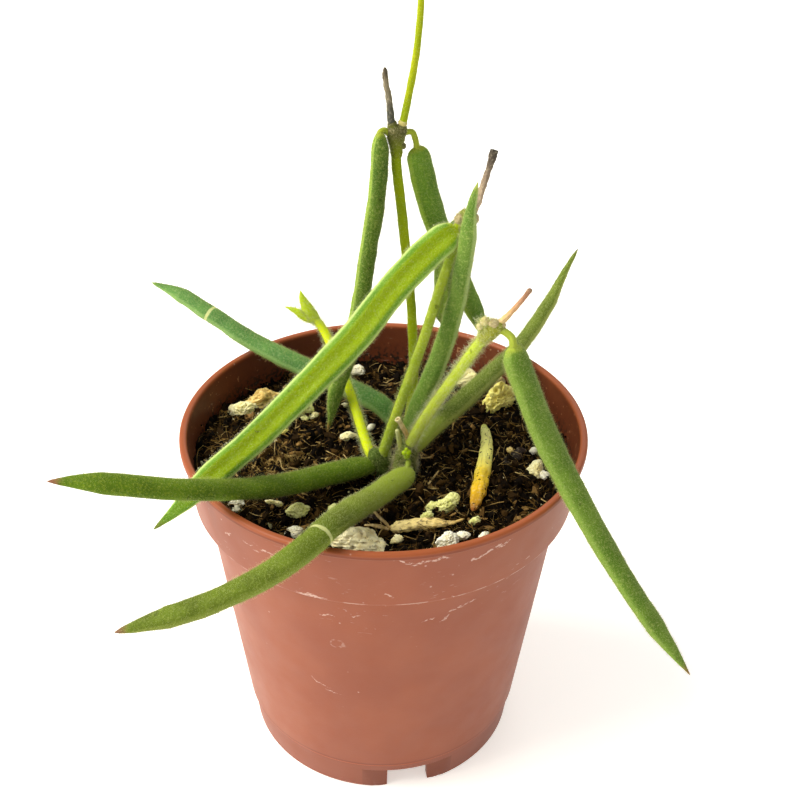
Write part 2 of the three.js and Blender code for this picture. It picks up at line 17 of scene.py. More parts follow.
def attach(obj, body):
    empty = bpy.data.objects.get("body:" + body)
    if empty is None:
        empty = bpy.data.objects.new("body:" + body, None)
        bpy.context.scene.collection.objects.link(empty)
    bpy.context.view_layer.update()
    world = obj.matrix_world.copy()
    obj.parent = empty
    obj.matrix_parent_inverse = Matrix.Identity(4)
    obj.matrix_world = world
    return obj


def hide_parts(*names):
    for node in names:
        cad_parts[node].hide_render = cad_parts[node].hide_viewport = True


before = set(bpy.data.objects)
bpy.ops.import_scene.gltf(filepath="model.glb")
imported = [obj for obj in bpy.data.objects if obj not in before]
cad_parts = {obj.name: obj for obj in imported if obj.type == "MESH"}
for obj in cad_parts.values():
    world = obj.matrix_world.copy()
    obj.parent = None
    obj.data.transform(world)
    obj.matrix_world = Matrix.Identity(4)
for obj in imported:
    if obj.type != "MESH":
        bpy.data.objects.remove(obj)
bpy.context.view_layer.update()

LOG = logging.getLogger("hoya")
MM = 0.001
Array = np.ndarray
Point = tuple[float, float, float]
Colour = tuple[float, float, float, float]
Line = tuple[Point, ...]
Girth = tuple[tuple[float, float], ...]
Ramp = tuple[tuple[float, str], ...]
Socket = bpy.types.NodeSocket
Material = bpy.types.Material
FRONT = -math.pi / 2


# ---------------------------------------------------------------------------------------------
# Surfaces
# ---------------------------------------------------------------------------------------------

@dataclass
class Shell:
    """A closed surface in millimetres.

    `lay` holds three values per vertex for the finish. On limbs they are the share of the length,
    how far the vertex faces the upper side (-1 to 1), and how far it lies sideways (-1 to 1).
    """

    points: Array
    quads: Array
    tris: Array
    lay: Array

    def facing_out(self) -> "Shell":
        """Turns every face round if the volume they enclose comes out negative."""
        corners = np.concatenate([self.quads[:, [0, 1, 2]], self.quads[:, [0, 2, 3]], self.tris])
        a, b, c = (self.points[corners[:, k]] for k in range(3))
        if np.einsum("ij,ij->i", a, np.cross(b, c)).sum() < 0:
            self.quads, self.tris = self.quads[:, ::-1], self.tris[:, ::-1]
        return self


def joined(shells: list[Shell]) -> Shell:
    """Puts several shells into one, in the order given.

    Args:
        shells: The shells to join.

    Returns:
        One shell that holds all their vertices and faces.
    """
    starts = np.cumsum([0] + [len(s.points) for s in shells])
    return Shell(
        np.concatenate([s.points for s in shells]),
        np.concatenate([s.quads + n for s, n in zip(shells, starts)]),
        np.concatenate([s.tris + n for s, n in zip(shells, starts)]),
        np.concatenate([s.lay for s in shells]),
    )


def closed_rings(rings: Array, lay: Array) -> Shell:
    """Closes a stack of rings into a shell; the first and last ring are drawn in to one point each.

    Args:
        rings: Points, (rings, sides, 3).
        lay: Finish values at those points, of the same shape.

    Returns:
        The shell, facing out.
    """
    count, sides = rings.shape[:2]
    inner = np.arange((count - 2) * sides).reshape(count - 2, sides)
    after = np.roll(inner, -1, axis=1)
    quads = np.stack([inner[:-1], after[:-1], after[1:], inner[1:]], axis=-1).reshape(-1, 4)
    first, last = (count - 2) * sides, (count - 2) * sides + 1
    start_fan = np.stack([np.full(sides, first), after[0], inner[0]], axis=-1)
    end_fan = np.stack([np.full(sides, last), inner[-1], after[-1]], axis=-1)

    def flat(grid: Array) -> Array:
        """Inner rings as a list, then the means of the first and the last ring."""
        ends = np.stack([grid[0].mean(axis=0), grid[-1].mean(axis=0)])
        return np.concatenate([grid[1:-1].reshape(-1, 3), ends])

    tris = np.concatenate([start_fan, end_fan])
    return Shell(flat(rings), quads, tris, flat(lay)).facing_out()


def turned_about(radius: Array, angle: Array, height: Array) -> Array:
    """Points at radii, angles and heights about the Z axis, spread over one another's shapes."""
    across = radius * np.cos(angle)
    return np.stack([across, radius * np.sin(angle), height + 0 * across], axis=-1)


@dataclass(frozen=True)
class Route:
    """A smooth line through points: a centripetal Catmull-Rom curve, read by share of its length."""

    points: tuple[Point, ...]
    steps: int = 40

    def read(self, shares: Array) -> tuple[Array, Array]:
        """Finds places on the line.

        Each stretch is a cubic through its two points, with end slopes from the neighbouring points
        weighted by the square root of their distances.

        Args:
            shares: Shares of the length, 0 to 1.

        Returns:
            The places and the unit directions there, each (n, 3).
        """
        given = np.array(self.points, float)
        p = np.concatenate([[2 * given[0] - given[1]], given, [2 * given[-1] - given[-2]]])
        gap = np.sqrt(np.linalg.norm(np.diff(p, axis=0), axis=1))[:, None, None]
        d0, d1, d2 = gap[:-2], gap[1:-1], gap[2:]
        p0, p1, p2, p3 = (p[k:len(p) - 3 + k, None, :] for k in range(4))
        slope1 = ((p1 - p0) / d0 - (p2 - p0) / (d0 + d1) + (p2 - p1) / d1) * d1
        slope2 = ((p2 - p1) / d1 - (p3 - p1) / (d1 + d2) + (p3 - p2) / d2) * d1
        t = np.linspace(0, 1, self.steps, endpoint=False)[None, :, None]
        line = (
            (2 * t**3 - 3 * t**2 + 1) * p1 + (t**3 - 2 * t**2 + t) * slope1
            + (3 * t**2 - 2 * t**3) * p2 + (t**3 - t**2) * slope2
        )
        line = np.concatenate([line.reshape(-1, 3), given[-1:]])
        length = np.concatenate([[0], np.cumsum(np.linalg.norm(np.diff(line, axis=0), axis=1))])
        tangent = np.gradient(line, length, axis=0)
        at = np.asarray(shares) * length[-1]
        places = np.stack([np.interp(at, length, line[:, k]) for k in range(3)], axis=-1)
        ways = np.stack([np.interp(at, length, tangent[:, k]) for k in range(3)], axis=-1)
        return places, unit(ways)


def unit(vectors: Array) -> Array:
    """The vectors at length one."""
    return vectors / np.maximum(np.linalg.norm(vectors, axis=-1, keepdims=True), 1e-12)


def rounded_shares(count: int) -> Array:
    """Shares from 0 to 1, closer together near both ends."""
    return (1 - np.cos(np.pi * np.linspace(0, 1, count))) / 2


def rounded_ends(shares: Array, end: float) -> Array:
    """Relative radii, 1 but for a quarter circle over `end` of the length at both ends."""
    rim = np.minimum(1, np.minimum(shares, 1 - shares) / end)
    return np.sqrt(rim * (2 - rim))


def seed_of(name: str) -> int:
    """A start of the random numbers that belongs to a name."""
    return sum(ord(letter) for letter in name)


@dataclass(frozen=True)
class Ripples:
    """Smooth unevenness of about -1 to 1: a sum of sine waves in random directions.

    `coarse` and `fine` are the longest and the shortest wavelength in millimetres. A wave's height
    grows with its wavelength to the power `fall`.
    """

    seed: int
    coarse: float
    fine: float
    waves: int = 28
    fall: float = 0.7

    def at(self, points: Array) -> Array:
        """The unevenness at points of shape (..., 3), one value each."""
        random = np.random.default_rng(self.seed)
        length = self.coarse * (self.fine / self.coarse) ** random.random(self.waves)
        way = unit(random.normal(size=(self.waves, 3))) * (2 * np.pi / length)[:, None]
        phase = random.random(self.waves) * 2 * np.pi
        height = length**self.fall
        total = np.sin(points.reshape(-1, 3) @ way.T + phase) @ height
        return (total / math.sqrt(float((height**2).sum()) * 2)).reshape(points.shape[:-1])


def swept(
    route: Route,
    shares: Array,
    radius: Array,
    width: float,
    thickness: float,
    top: Point = (0.1, 0.2, 1),
    sides: int = 24,
    channel: float = 0.0,
) -> tuple[Array, Array]:
    """Carries an oval section along a route.

    At an angle a round the section, a point lies radius * cos(a) half widths to the side and
    radius * sin(a) half thicknesses up. On the under side, the middle is raised by `channel` times
    its depth, fading out sideways as a bell curve.

    Args:
        route: The line that the section follows.
        shares: Shares of the length, one for each ring; they may run back for a hollow end.
        radius: Relative radius of each ring.
        width: Full width at radius 1.
        thickness: Full thickness at radius 1.
        top: Where the upper side looks.
        sides: Points round the section.
        channel: Depth of the under side's channel, as a share of half the thickness.

    Returns:
        The rings, (rings, sides, 3), and their finish values.
    """
    places, ways = route.read(shares)
    side = unit(np.cross(ways, np.array(top, float)))
    up = np.cross(side, ways)
    angle = np.linspace(0, 2 * np.pi, sides, endpoint=False)
    across, high = np.cos(angle), np.sin(angle)
    x = radius[:, None] * across
    z = radius[:, None] * high
    z = z + channel * np.maximum(0, -z) * np.exp(-((x / 0.45) ** 2))
    rings = (
        places[:, None, :]
        + side[:, None, :] * (x * width / 2)[..., None]
        + up[:, None, :] * (z * thickness / 2)[..., None]
    )
    along = np.broadcast_to(np.asarray(shares)[:, None], x.shape)
    lay = np.stack([along, np.broadcast_to(high, x.shape), np.broadcast_to(across, x.shape)], axis=-1)
    return rings, lay


def roughened(rings: Array, ripples: Ripples, height: float) -> Array:
    """Moves the rings' points away from their ring's middle by an uneven amount.

    Args:
        rings: Points, (rings, sides, 3).
        ripples: The unevenness, read at each point.
        height: Its height in millimetres.

    Returns:
        The moved points. Rings near the ends move in proportion to their size.
    """
    middle = rings.mean(axis=1, keepdims=True)
    spoke = rings - middle
    reach = np.linalg.norm(spoke, axis=-1, keepdims=True)
    share = np.minimum(1, reach / max(height * 4, 1e-6))
    return rings + unit(spoke) * ripples.at(rings)[..., None] * height * share


def unit_ball(grid: int) -> Array:
    """Points of a ball of radius 1, (grid, sides, 3), from pole to pole, with a third more sides."""
    around = np.linspace(0, 2 * np.pi, grid * 4 // 3, endpoint=False)
    down = np.linspace(0, np.pi, grid)[:, None]
    return turned_about(np.sin(down), around, np.cos(down))


def set_down(ball: Array, radius: Array, shade: Array, at: Point, size: Point, turn: float) -> Shell:
    """Makes a lump out of a ball: dents, stretches, turns and moves it.

    Args:
        ball: The unit ball's points, (rings, sides, 3).
        radius: The radius in each of those directions.
        shade: The first finish value there.
        at: Middle of the lump.
        size: Full size along its own X, Y and Z.
        turn: Turn about Z, in radians.

    Returns:
        The lump's shell.
    """
    c, s = math.cos(turn), math.sin(turn)
    stretched = ball * radius[..., None] * np.array(size) / 2
    turned = stretched @ np.array([[c, s, 0], [-s, c, 0], [0, 0, 1]]) + np.array(at)
    return closed_rings(turned, np.stack([shade, ball[..., 2], ball[..., 0]], axis=-1))


# ---------------------------------------------------------------------------------------------
# Hairs, crumbs and fibres: one small shape repeated many times
# ---------------------------------------------------------------------------------------------

@dataclass(frozen=True)
class Fuzz:
    """Fine hairs on a skin, in millimetres: number per square millimetre, length and thickness.

    `lean` is how far hairs lean over. `stops` is the number of points along a hair: 2 for a straight
    one, 3 for one that bends. No hair grows below the height `ground`. Roots start `depth` inside
    the skin.
    """

    density: float
    length: float
    thickness: float = 0.04
    lean: float = 0.45
    seed: int = 1
    stops: int = 3
    ground: float = 0.0
    depth: float = 0.04

    def on(self, rings: Array) -> Shell:
        """Grows hairs on a skin.

        Roots are spread by area over the skin's cells. A hair is a three-sided spike that leaves
        along the skin's normal, leans over at random, and ends in a point.

        Args:
            rings: The skin, (rings, sides, 3).

        Returns:
            The hairs' shell; the first finish value runs from root to tip.
        """
        random = np.random.default_rng(self.seed)
        nexts = np.roll(rings, -1, axis=1)
        a, b, c, d = rings[:-1], nexts[:-1], nexts[1:], rings[1:]
        normal = np.cross(c - a, d - b).reshape(-1, 3)
        area = np.linalg.norm(normal, axis=1) / 2 * (a[..., 2].ravel() > self.ground)
        outward = (rings - rings.mean(axis=1, keepdims=True))[:-1].reshape(-1, 3)
        if np.einsum("ij,ij->i", normal, outward).sum() < 0:
            normal = -normal
        count = int(self.density * area.sum())
        cell = random.choice(len(area), count, p=area / area.sum())
        u, v = random.random((2, count, 1))
        a, b, c, d = (corner.reshape(-1, 3)[cell] for corner in (a, b, c, d))
        root = (a * (1 - u) + b * u) * (1 - v) + (d * (1 - u) + c * u) * v
        normal = unit(normal[cell])
        lean = random.normal(size=(count, 3)) * self.lean
        long = self.length * (0.45 + 0.75 * random.random((count, 1)))
        bend = root + unit(normal + 0.35 * lean) * long * 0.5
        tip = bend + unit(normal + lean) * long * 0.5
        start = root - normal * self.depth
        line = [start, tip] if self.stops == 2 else [start, bend, tip]
        return spikes(np.stack(line), self.thickness / 2, lean[:, :1] * 0)


def stone(at: Point, size: Point, turn: float, seed: int, grid: int = 44, pits: float = 0.09) -> Shell:
    """A broken, porous stone.

    In each direction its radius is the nearest of some cutting planes, softened. Knobs, fine grains
    and pits are added, and the ball is stretched and turned afterwards.

    Args:
        at: Middle of the stone.
        size: Full size along its own X, Y and Z.
        turn: Turn about Z, in radians.
        seed: Start of the random numbers.
        grid: Rings of the ball; it has as many and a third more sides.
        pits: Depth of the pits as a share of the radius.

    Returns:
        The stone's shell; the first finish value is 1 on the outside and falls to -1 in the pits.
    """
    planes, sharpness = 22, 7.0
    random = np.random.default_rng(seed)
    ball = unit_ball(grid)
    way = unit(random.normal(size=(planes, 3)))
    off = 0.78 + 0.25 * random.random(planes)
    facing = np.maximum(ball @ way.T, 0.12)
    radius = ((off / facing) ** -sharpness).sum(axis=-1) ** (-1 / sharpness)
    worn = Ripples(seed, 0.5, 0.16, 80, 0.2).at(ball)
    broad = Ripples(seed + 1, 1.5, 0.5, 24).at(ball)
    knobs = np.abs(Ripples(seed + 2, 0.9, 0.4, 30).at(ball))
    radius = radius * (1 + 0.1 * broad + 0.12 * (0.5 - knobs) + 0.04 * worn)
    radius = radius * (1 - 2 * pits * np.clip(-worn - 0.05, 0, 1))
    return set_down(ball, radius, worn, at, size, turn)


def repeated(points: Array, quads: Array, tris: Array, lay: Array) -> Shell:
    """Many copies of one small shape.

    Args:
        points: Each copy's vertices, (count, vertices, 3).
        quads: The shape's faces with four corners.
        tris: Its faces with three.
        lay: Each copy's finish values, (count, vertices, 3).

    Returns:
        One shell of all the copies.
    """
    start = (np.arange(len(points)) * points.shape[1])[:, None, None]
    return Shell(
        points.reshape(-1, 3), (quads[None] + start).reshape(-1, 4),
        (tris[None] + start).reshape(-1, 3), lay.reshape(-1, 3),
    )


def spikes(line: Array, radius: float | Array, shade: Array) -> Shell:
    """Three-sided spikes along short lines.

    Args:
        line: Points of the lines, (stops, count, 3), from root to tip.
        radius: Radius at the root, one for all or one each.
        shade: A finish value for each spike, (count, 1).

    Returns:
        The spikes' shell. A spike thins to a point at its last stop. The first finish value runs
        from root to tip, and the second is the shade.
    """
    stops, count = line.shape[:2]
    way = unit(line[-1] - line[0])
    helper = np.where(np.abs(way[:, 2:]) < 0.8, [[0.0, 0.0, 1.0]], [[1.0, 0.0, 0.0]])
    across = unit(np.cross(way, helper))
    other = np.cross(way, across)
    corner = np.arange(3) * 2 * np.pi / 3
    star = across[:, None] * np.cos(corner)[:, None] + other[:, None] * np.sin(corner)[:, None]
    thin = (1 - np.arange(stops) / (stops - 1)) ** 0.6
    girth = np.broadcast_to(np.asarray(radius, float).reshape(-1, 1, 1), (count, 1, 1))
    body = line[:-1, :, None] + star[None] * girth[None] * thin[:-1, None, None, None]
    body = body.transpose(1, 0, 2, 3).reshape(count, -1, 3)
    points = np.concatenate([body, line[-1][:, None]], axis=1)
    per = points.shape[1]
    ring = np.arange(per - 1).reshape(stops - 1, 3)
    after = np.roll(ring, -1, axis=1)
    quads = np.stack([ring[:-1], after[:-1], after[1:], ring[1:]], axis=-1).reshape(-1, 4)
    point = np.stack([ring[-1], after[-1], np.full(3, per - 1)], axis=-1)
    share = np.concatenate([np.repeat(np.arange(stops - 1), 3), [stops - 1]]) / (stops - 1)
    lay = np.stack([
        np.broadcast_to(share, (count, per)),
        np.broadcast_to(np.asarray(shade, float).reshape(-1, 1), (count, per)),
        np.zeros((count, per)),
    ], axis=-1)
    return repeated(points, quads, np.concatenate([[[2, 1, 0]], point]), lay)


def crumbs(at: Array, size: Array, shade: Array, seed: int, sides: int = 6, rings: int = 4) -> Shell:
    """Small rough lumps, all from one ball whose points are shaken differently for each.

    Args:
        at: Middles, (count, 3).
        size: Full sizes along X, Y and Z, (count, 3).
        shade: A finish value for each, (count,).
        seed: Start of the random numbers.
        sides: Points round the ball.
        rings: Rings between its poles.

    Returns:
        The crumbs' shell; all three finish values are the shade.
    """
    random = np.random.default_rng(seed)
    down = np.linspace(0, np.pi, rings + 2)[1:-1, None]
    around = np.linspace(0, 2 * np.pi, sides, endpoint=False)
    ball = turned_about(np.sin(down), around, np.cos(down)).reshape(-1, 3)
    ball = np.concatenate([ball, [[0, 0, 1], [0, 0, -1]]])
    count, per = len(at), len(ball)
    shaken = ball[None] * (0.65 + 0.7 * random.random((count, per, 1))) * size[:, None] / 2
    axis_a = unit(random.normal(size=(count, 3)))
    axis_b = unit(np.cross(axis_a, random.normal(size=(count, 3))))
    axes = np.stack([axis_a, axis_b, np.cross(axis_a, axis_b)], axis=1)
    points = np.einsum("npk,nkj->npj", shaken, axes) + at[:, None]
    ring = np.arange(rings * sides).reshape(rings, sides)
    after = np.roll(ring, -1, axis=1)
    quads = np.stack([ring[:-1], ring[1:], after[1:], after[:-1]], axis=-1).reshape(-1, 4)
    top = np.stack([np.full(sides, per - 2), ring[0], after[0]], axis=-1)
    bottom = np.stack([np.full(sides, per - 1), after[-1], ring[-1]], axis=-1)
    lay = np.broadcast_to(shade[:, None, None], points.shape)
    return repeated(points, quads, np.concatenate([top, bottom]), lay)


# ---------------------------------------------------------------------------------------------
# Making pieces
# ---------------------------------------------------------------------------------------------

def place(
    name: str,
    shell: Shell,
    material: Material,
    slot: str,
    nodes: tuple[str, ...] = (),
    sharp: float | None = None,
) -> bpy.types.Object:
    """Makes a piece from a shell and fixes it to the plant's one body.

    Args:
        name: The piece's name.
        shell: Its surface, in millimetres.
        material: Its finish.
        slot: The record's material slot; not used.
        nodes: The nodes of the frame that it stands for.
        sharp: Edges that turn by more than this angle, in radians, are shown as edges.

    Returns:
        The new object, at the origin.
    """
    mesh = bpy.data.meshes.new(name)
    mesh.vertices.add(len(shell.points))
    mesh.vertices.foreach_set("co", (shell.points * MM).astype(np.float32).ravel())
    corners = np.concatenate([shell.quads.ravel(), shell.tris.ravel()]).astype(np.int32)
    sizes = np.concatenate([np.full(len(shell.quads), 4), np.full(len(shell.tris), 3)])
    starts = np.concatenate([[0], np.cumsum(sizes)[:-1]]).astype(np.int32)
    mesh.loops.add(len(corners))
    mesh.loops.foreach_set("vertex_index", corners)
    mesh.polygons.add(len(sizes))
    mesh.polygons.foreach_set("loop_start", starts)
    mesh.polygons.foreach_set("use_smooth", np.ones(len(sizes), bool))
    mesh.update(calc_edges=True)
    lay = mesh.attributes.new("lay", "FLOAT_VECTOR", "POINT")
    lay.data.foreach_set("vector", shell.lay.astype(np.float32).ravel())
    if sharp is not None:
        mesh.set_sharp_from_angle(angle=sharp)
    mesh.validate()
    piece = bpy.data.objects.new(name, mesh)
    bpy.context.scene.collection.objects.link(piece)
    mesh.materials.append(material)
    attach(piece, "root")
    if nodes:
        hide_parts(*nodes)
    LOG.info("%s: %d vertices, %d faces, stands for %s", name, len(shell.points), len(sizes), nodes)
    return piece


# ---------------------------------------------------------------------------------------------
# Finishes
# ---------------------------------------------------------------------------------------------

def tone(code: str) -> Colour:
    """A colour written as six hexadecimal digits, as the shader's linear values."""
    parts = [int(code[k:k + 2], 16) / 255 for k in (0, 2, 4)]
    linear = [c / 12.92 if c <= 0.04045 else ((c + 0.055) / 1.055) ** 2.4 for c in parts]
    return (*linear, 1.0)


class Sheet:
    """Lays out the shader nodes of one material."""

    def __init__(
        self, name: str, roughness: float, base: str = "ffffff", **constants: float | Colour,
    ) -> None:
        """Starts a material.

        Args:
            name: The material's name.
            roughness: The surface's roughness.
            base: The colour under everything painted on it, as six hexadecimal digits.
            **constants: Other sockets of the shader that are the same all over the surface, with
                underscores for spaces.
        """
        self.colour: object = tone(base)
        self.material = bpy.data.materials.new(name)
        self.material.use_nodes = True
        self.nodes = self.material.node_tree.nodes
        self.shader = self.nodes["Principled BSDF"]
        self.shader.inputs["Roughness"].default_value = roughness
        for socket, value in constants.items():
            self.shader.inputs[socket.replace("_", " ")].default_value = value
        self.place = self.nodes.new("ShaderNodeTexCoord").outputs["Object"]
        lay = self.nodes.new("ShaderNodeAttribute")
        lay.attribute_name = "lay"
        self.lay = lay.outputs["Vector"]
        split = self.nodes.new("ShaderNodeSeparateXYZ")
        self.join(self.lay, split.inputs[0])
        self.along, self.upper, self.aside = split.outputs

    def join(self, source: Socket, target: Socket) -> None:
        """Links two sockets."""
        self.material.node_tree.links.new(source, target)

    def feed(self, value: object, target: Socket) -> None:
        """Links a socket, or sets a plain value."""
        if isinstance(value, Socket):
            self.join(value, target)
        else:
            target.default_value = value

    def stretched(self, x: float, y: float, z: float) -> Socket:
        """Object coordinates scaled along each axis."""
        node = self.nodes.new("ShaderNodeMapping")
        node.inputs["Scale"].default_value = (x, y, z)
        self.join(self.place, node.inputs["Vector"])
        return node.outputs[0]

    def noise(
        self, size: float, detail: float = 2.0, vector: Socket | None = None,
        distortion: float = 0.0,
    ) -> Socket:
        """Cloudy noise of 0 to 1 whose features are about `size` millimetres."""
        node = self.nodes.new("ShaderNodeTexNoise")
        node.inputs["Scale"].default_value = 1 / (size * MM)
        node.inputs["Detail"].default_value = detail
        node.inputs["Distortion"].default_value = distortion
        self.join(vector or self.place, node.inputs["Vector"])
        return node.outputs["Fac"]

    def streaks(self, fineness: float, stretch: float, detail: float = 3.0) -> Socket:
        """Noise of 0 to 1 drawn out along a limb.

        Args:
            fineness: Features across half the limb's width.
            stretch: Features along the whole limb for each one across.
            detail: Levels of finer noise.

        Returns:
            The noise.
        """
        mapping = self.nodes.new("ShaderNodeMapping")
        mapping.inputs["Scale"].default_value = (stretch, 1, 1)
        self.join(self.lay, mapping.inputs["Vector"])
        node = self.nodes.new("ShaderNodeTexNoise")
        node.inputs["Scale"].default_value = fineness
        node.inputs["Detail"].default_value = detail
        self.join(mapping.outputs[0], node.inputs["Vector"])
        return node.outputs["Fac"]

    def patches(self, size: float, detail: float, start: float, end: float) -> Socket:
        """Noise of `size` millimetres, cut to patches by a smooth step."""
        return self.band(self.noise(size, detail), start, end)

    def cells(self, size: float) -> Socket:
        """Distance to the middles of cells of about `size` millimetres."""
        node = self.nodes.new("ShaderNodeTexVoronoi")
        node.inputs["Scale"].default_value = 1 / (size * MM)
        self.join(self.place, node.inputs["Vector"])
        return node.outputs["Distance"]

    def band(self, value: object, start: float, end: float) -> Socket:
        """A smooth step from 0 at `start` to 1 at `end`."""
        node = self.nodes.new("ShaderNodeMapRange")
        node.interpolation_type = "SMOOTHSTEP"
        rising = start < end
        node.inputs["From Min"].default_value = min(start, end)
        node.inputs["From Max"].default_value = max(start, end)
        node.inputs["To Min"].default_value = 0.0 if rising else 1.0
        node.inputs["To Max"].default_value = 1.0 if rising else 0.0
        self.feed(value, node.inputs["Value"])
        return node.outputs[0]

    def over(self, value: Socket, start: float, end: float) -> Socket:
        """A smooth step of a length in metres, from 0 at `start` to 1 at `end` millimetres."""
        return self.band(value, start * MM, end * MM)

    def maths(self, operation: str, a: object, b: object = 0.0, c: object = 0.0) -> Socket:
        """One step of arithmetic on up to three values."""
        node = self.nodes.new("ShaderNodeMath")
        node.operation = operation
        for value, socket in zip((a, b, c), node.inputs):
            self.feed(value, socket)
        return node.outputs[0]

    def shaken(self, value: object, size: float, reach: float) -> Socket:
        """A value moved up or down by up to `reach`, by noise of `size` millimetres."""
        shift = self.maths("MULTIPLY_ADD", self.noise(size, 2.0), 2 * reach, -reach)
        return self.maths("ADD", value, shift)

    def times(self, *values: object) -> Socket:
        """The product of two or more values."""
        total = values[0]
        for value in values[1:]:
            total = self.maths("MULTIPLY", total, value)
        return total

    def paint(self, code: str, *shares: object) -> None:
        """Lays a colour over what is painted so far, by the product of the shares."""
        node = self.nodes.new("ShaderNodeMix")
        node.data_type = "RGBA"
        share, below, above = (node.inputs[k] for k in (0, 6, 7))
        self.feed(self.times(*shares), share)
        self.feed(self.colour, below)
        above.default_value = tone(code)
        self.colour = node.outputs[2]

    def ramp(self, value: object, stops: Ramp) -> Socket:
        """Colours at places from 0 to 1, blended between them."""
        node = self.nodes.new("ShaderNodeValToRGB")
        band = node.color_ramp
        for place, code in stops[1:-1]:
            band.elements.new(place).color = tone(code)
        for end in (0, -1):
            band.elements[end].position = stops[end][0]
            band.elements[end].color = tone(stops[end][1])
        self.feed(value, node.inputs[0])
        return node.outputs[0]

    def finish(
        self, height: Socket | None = None, relief: float = 0.05, strength: float = 0.5,
        roughness: Socket | None = None,
    ) -> Material:
        """Connects the colour, the bump and the roughness.

        Args:
            height: The bump's height, 0 to 1, or None for a smooth surface.
            relief: What a height of 1 stands for, in millimetres.
            strength: How strongly the bump shows.
            roughness: A roughness that varies, or None.

        Returns:
            The material.
        """
        self.feed(self.colour, self.shader.inputs["Base Color"])
        if roughness is not None:
            self.join(roughness, self.shader.inputs["Roughness"])
        if height is not None:
            bump = self.nodes.new("ShaderNodeBump")
            bump.inputs["Distance"].default_value = relief * MM
            bump.inputs["Strength"].default_value = strength
            self.join(height, bump.inputs["Height"])
            self.join(bump.outputs[0], self.shader.inputs["Normal"])
        return self.material


@dataclass(frozen=True)
class Skin:
    """The skin of a leaf or a green stem, with its colours as six hexadecimal digits.

    `deep` and `pale` cloud the base colour, `channel` runs down the under side, `margin` pales both
    edges, partly the hairs' own pale colour and partly a painted highlight where they catch the
    light, `stalk` is the petiole and fades into the blade over `fade` of its length, and `tip` is
    the withered point. `scars` are shares of the length with a pale ring. `mottling` is how
    strongly the pale speckles show, and `glow` how much light gets into the skin.
    """

    name: str
    base: str
    deep: str
    pale: str
    channel: str = ""
    stalk: str = ""
    tip: str = ""
    scars: tuple[float, ...] = ()
    mottling: float = 0.5
    glow: float = 0.1
    fade: float = 0.02
    margin: str = ""

    def make(self) -> Material:
        """Lays out the skin's material.

        Returns:
            The material: clouded and faintly streaked colour with fine pale speckles, dark pores
            and a few dark spots, and a velvety bump.
        """
        s = Sheet(
            self.name, 0.6, self.base, Subsurface_Weight=self.glow, Subsurface_Scale=0.5 * MM,
            Subsurface_Radius=(0.7, 1.0, 0.1), Sheen_Weight=0.22, Sheen_Roughness=0.35,
            Sheen_Tint=tone("dee070"), Specular_IOR_Level=0.1,
        )
        s.paint(self.deep, s.patches(4.5, 3.0, 0.32, 0.7))
        s.paint(self.deep, s.band(s.streaks(5.0, 5.0), 0.45, 0.7), 0.3)
        off = s.maths("ABSOLUTE", s.aside)
        if self.channel:
            trough = s.times(
                s.band(off, 0.72, 0.46), s.band(s.upper, -0.05, -0.35), s.band(s.along, 0.97, 0.8))
            s.paint(self.channel, trough)
            s.paint(self.pale, s.band(s.streaks(5.0, 2.0, 2.0), 0.5, 0.72), trough, 0.2)
        # Pale edges: partly the hairs' own colour, partly a painted highlight where the edge hairs catch the
        # light.
        if self.margin:
            s.paint(self.margin, s.band(off, 0.78, 0.97), 0.7)
        s.paint(self.pale, s.patches(0.3, 2.0, 0.48, 0.72), self.mottling)
        s.paint(self.deep, s.patches(0.22, 1.0, 0.6, 0.72), 0.4)
        if self.stalk:
            s.paint(self.stalk, s.band(s.shaken(s.along, 0.8, 0.012), self.fade, 0.0))
        for scar in self.scars:
            off = s.maths("ABSOLUTE", s.maths("SUBTRACT", s.shaken(s.along, 2.0, 0.006), scar))
            s.paint("d8da96", s.band(off, 0.0065, 0.0035), 0.8)
        if self.tip:
            s.paint(self.tip, s.band(s.shaken(s.along, 0.7, 0.01), 0.955, 0.99))
        s.paint("34400e", s.patches(1.1, 1.0, 0.745, 0.765), s.band(s.along, 0.0, 0.02), 0.5)
        return s.finish(s.noise(0.24, 3.0), 0.14, 0.8)


@dataclass(frozen=True)
class HairFinish:
    """Fine plant hairs: clear, pale and soft."""

    name: str
    root: str
    tip: str

    def make(self) -> Material:
        """Lays out the hairs' material, which pales from root to tip."""
        s = Sheet(self.name, 0.6, self.root, Specular_IOR_Level=0.15)
        s.paint(self.tip, s.band(s.along, 0.1, 0.9))
        return s.finish()


@dataclass(frozen=True)
class Dry:
    """Dead stem, husk or withered leaf: colours at shares of the length, cracked and specked.

    `stretch` is how many cracks follow one another along the limb, for each one across it.
    `cracks` and `specks` are how strongly those show.
    """

    name: str
    colours: Ramp
    dark: str
    cracks: float = 0.5
    stretch: float = 4.0
    specks: float = 0.5

    def make(self) -> Material:
        """Lays out the material.

        Returns:
            The material: colours along the length, dark cracks along it, specks and wrinkles.
        """
        s = Sheet(self.name, 0.8, Specular_IOR_Level=0.2)
        s.colour = s.ramp(s.shaken(s.along, 0.9, 0.07), self.colours)
        lines = s.streaks(2.6, self.stretch, 4.0)
        s.paint(self.dark, s.band(lines, 0.5, 0.68), self.cracks)
        s.paint("efe2bc", s.patches(0.5, 3.0, 0.5, 0.75), 0.25)
        s.paint("1c1308", s.patches(0.42, 2.0, 0.6, 0.66), s.patches(2.0, 1.0, 0.42, 0.55), self.specks)
        return s.finish(s.maths("ADD", lines, s.noise(0.4, 3.0)), 0.14, 0.9)


@dataclass(frozen=True)
class Mark:
    """A chalky mark on the pot: turn from the front in degrees, height, half sizes and slope."""

    turn: float
    height: float
    long: float
    tall: float
    slope: float = 0.0


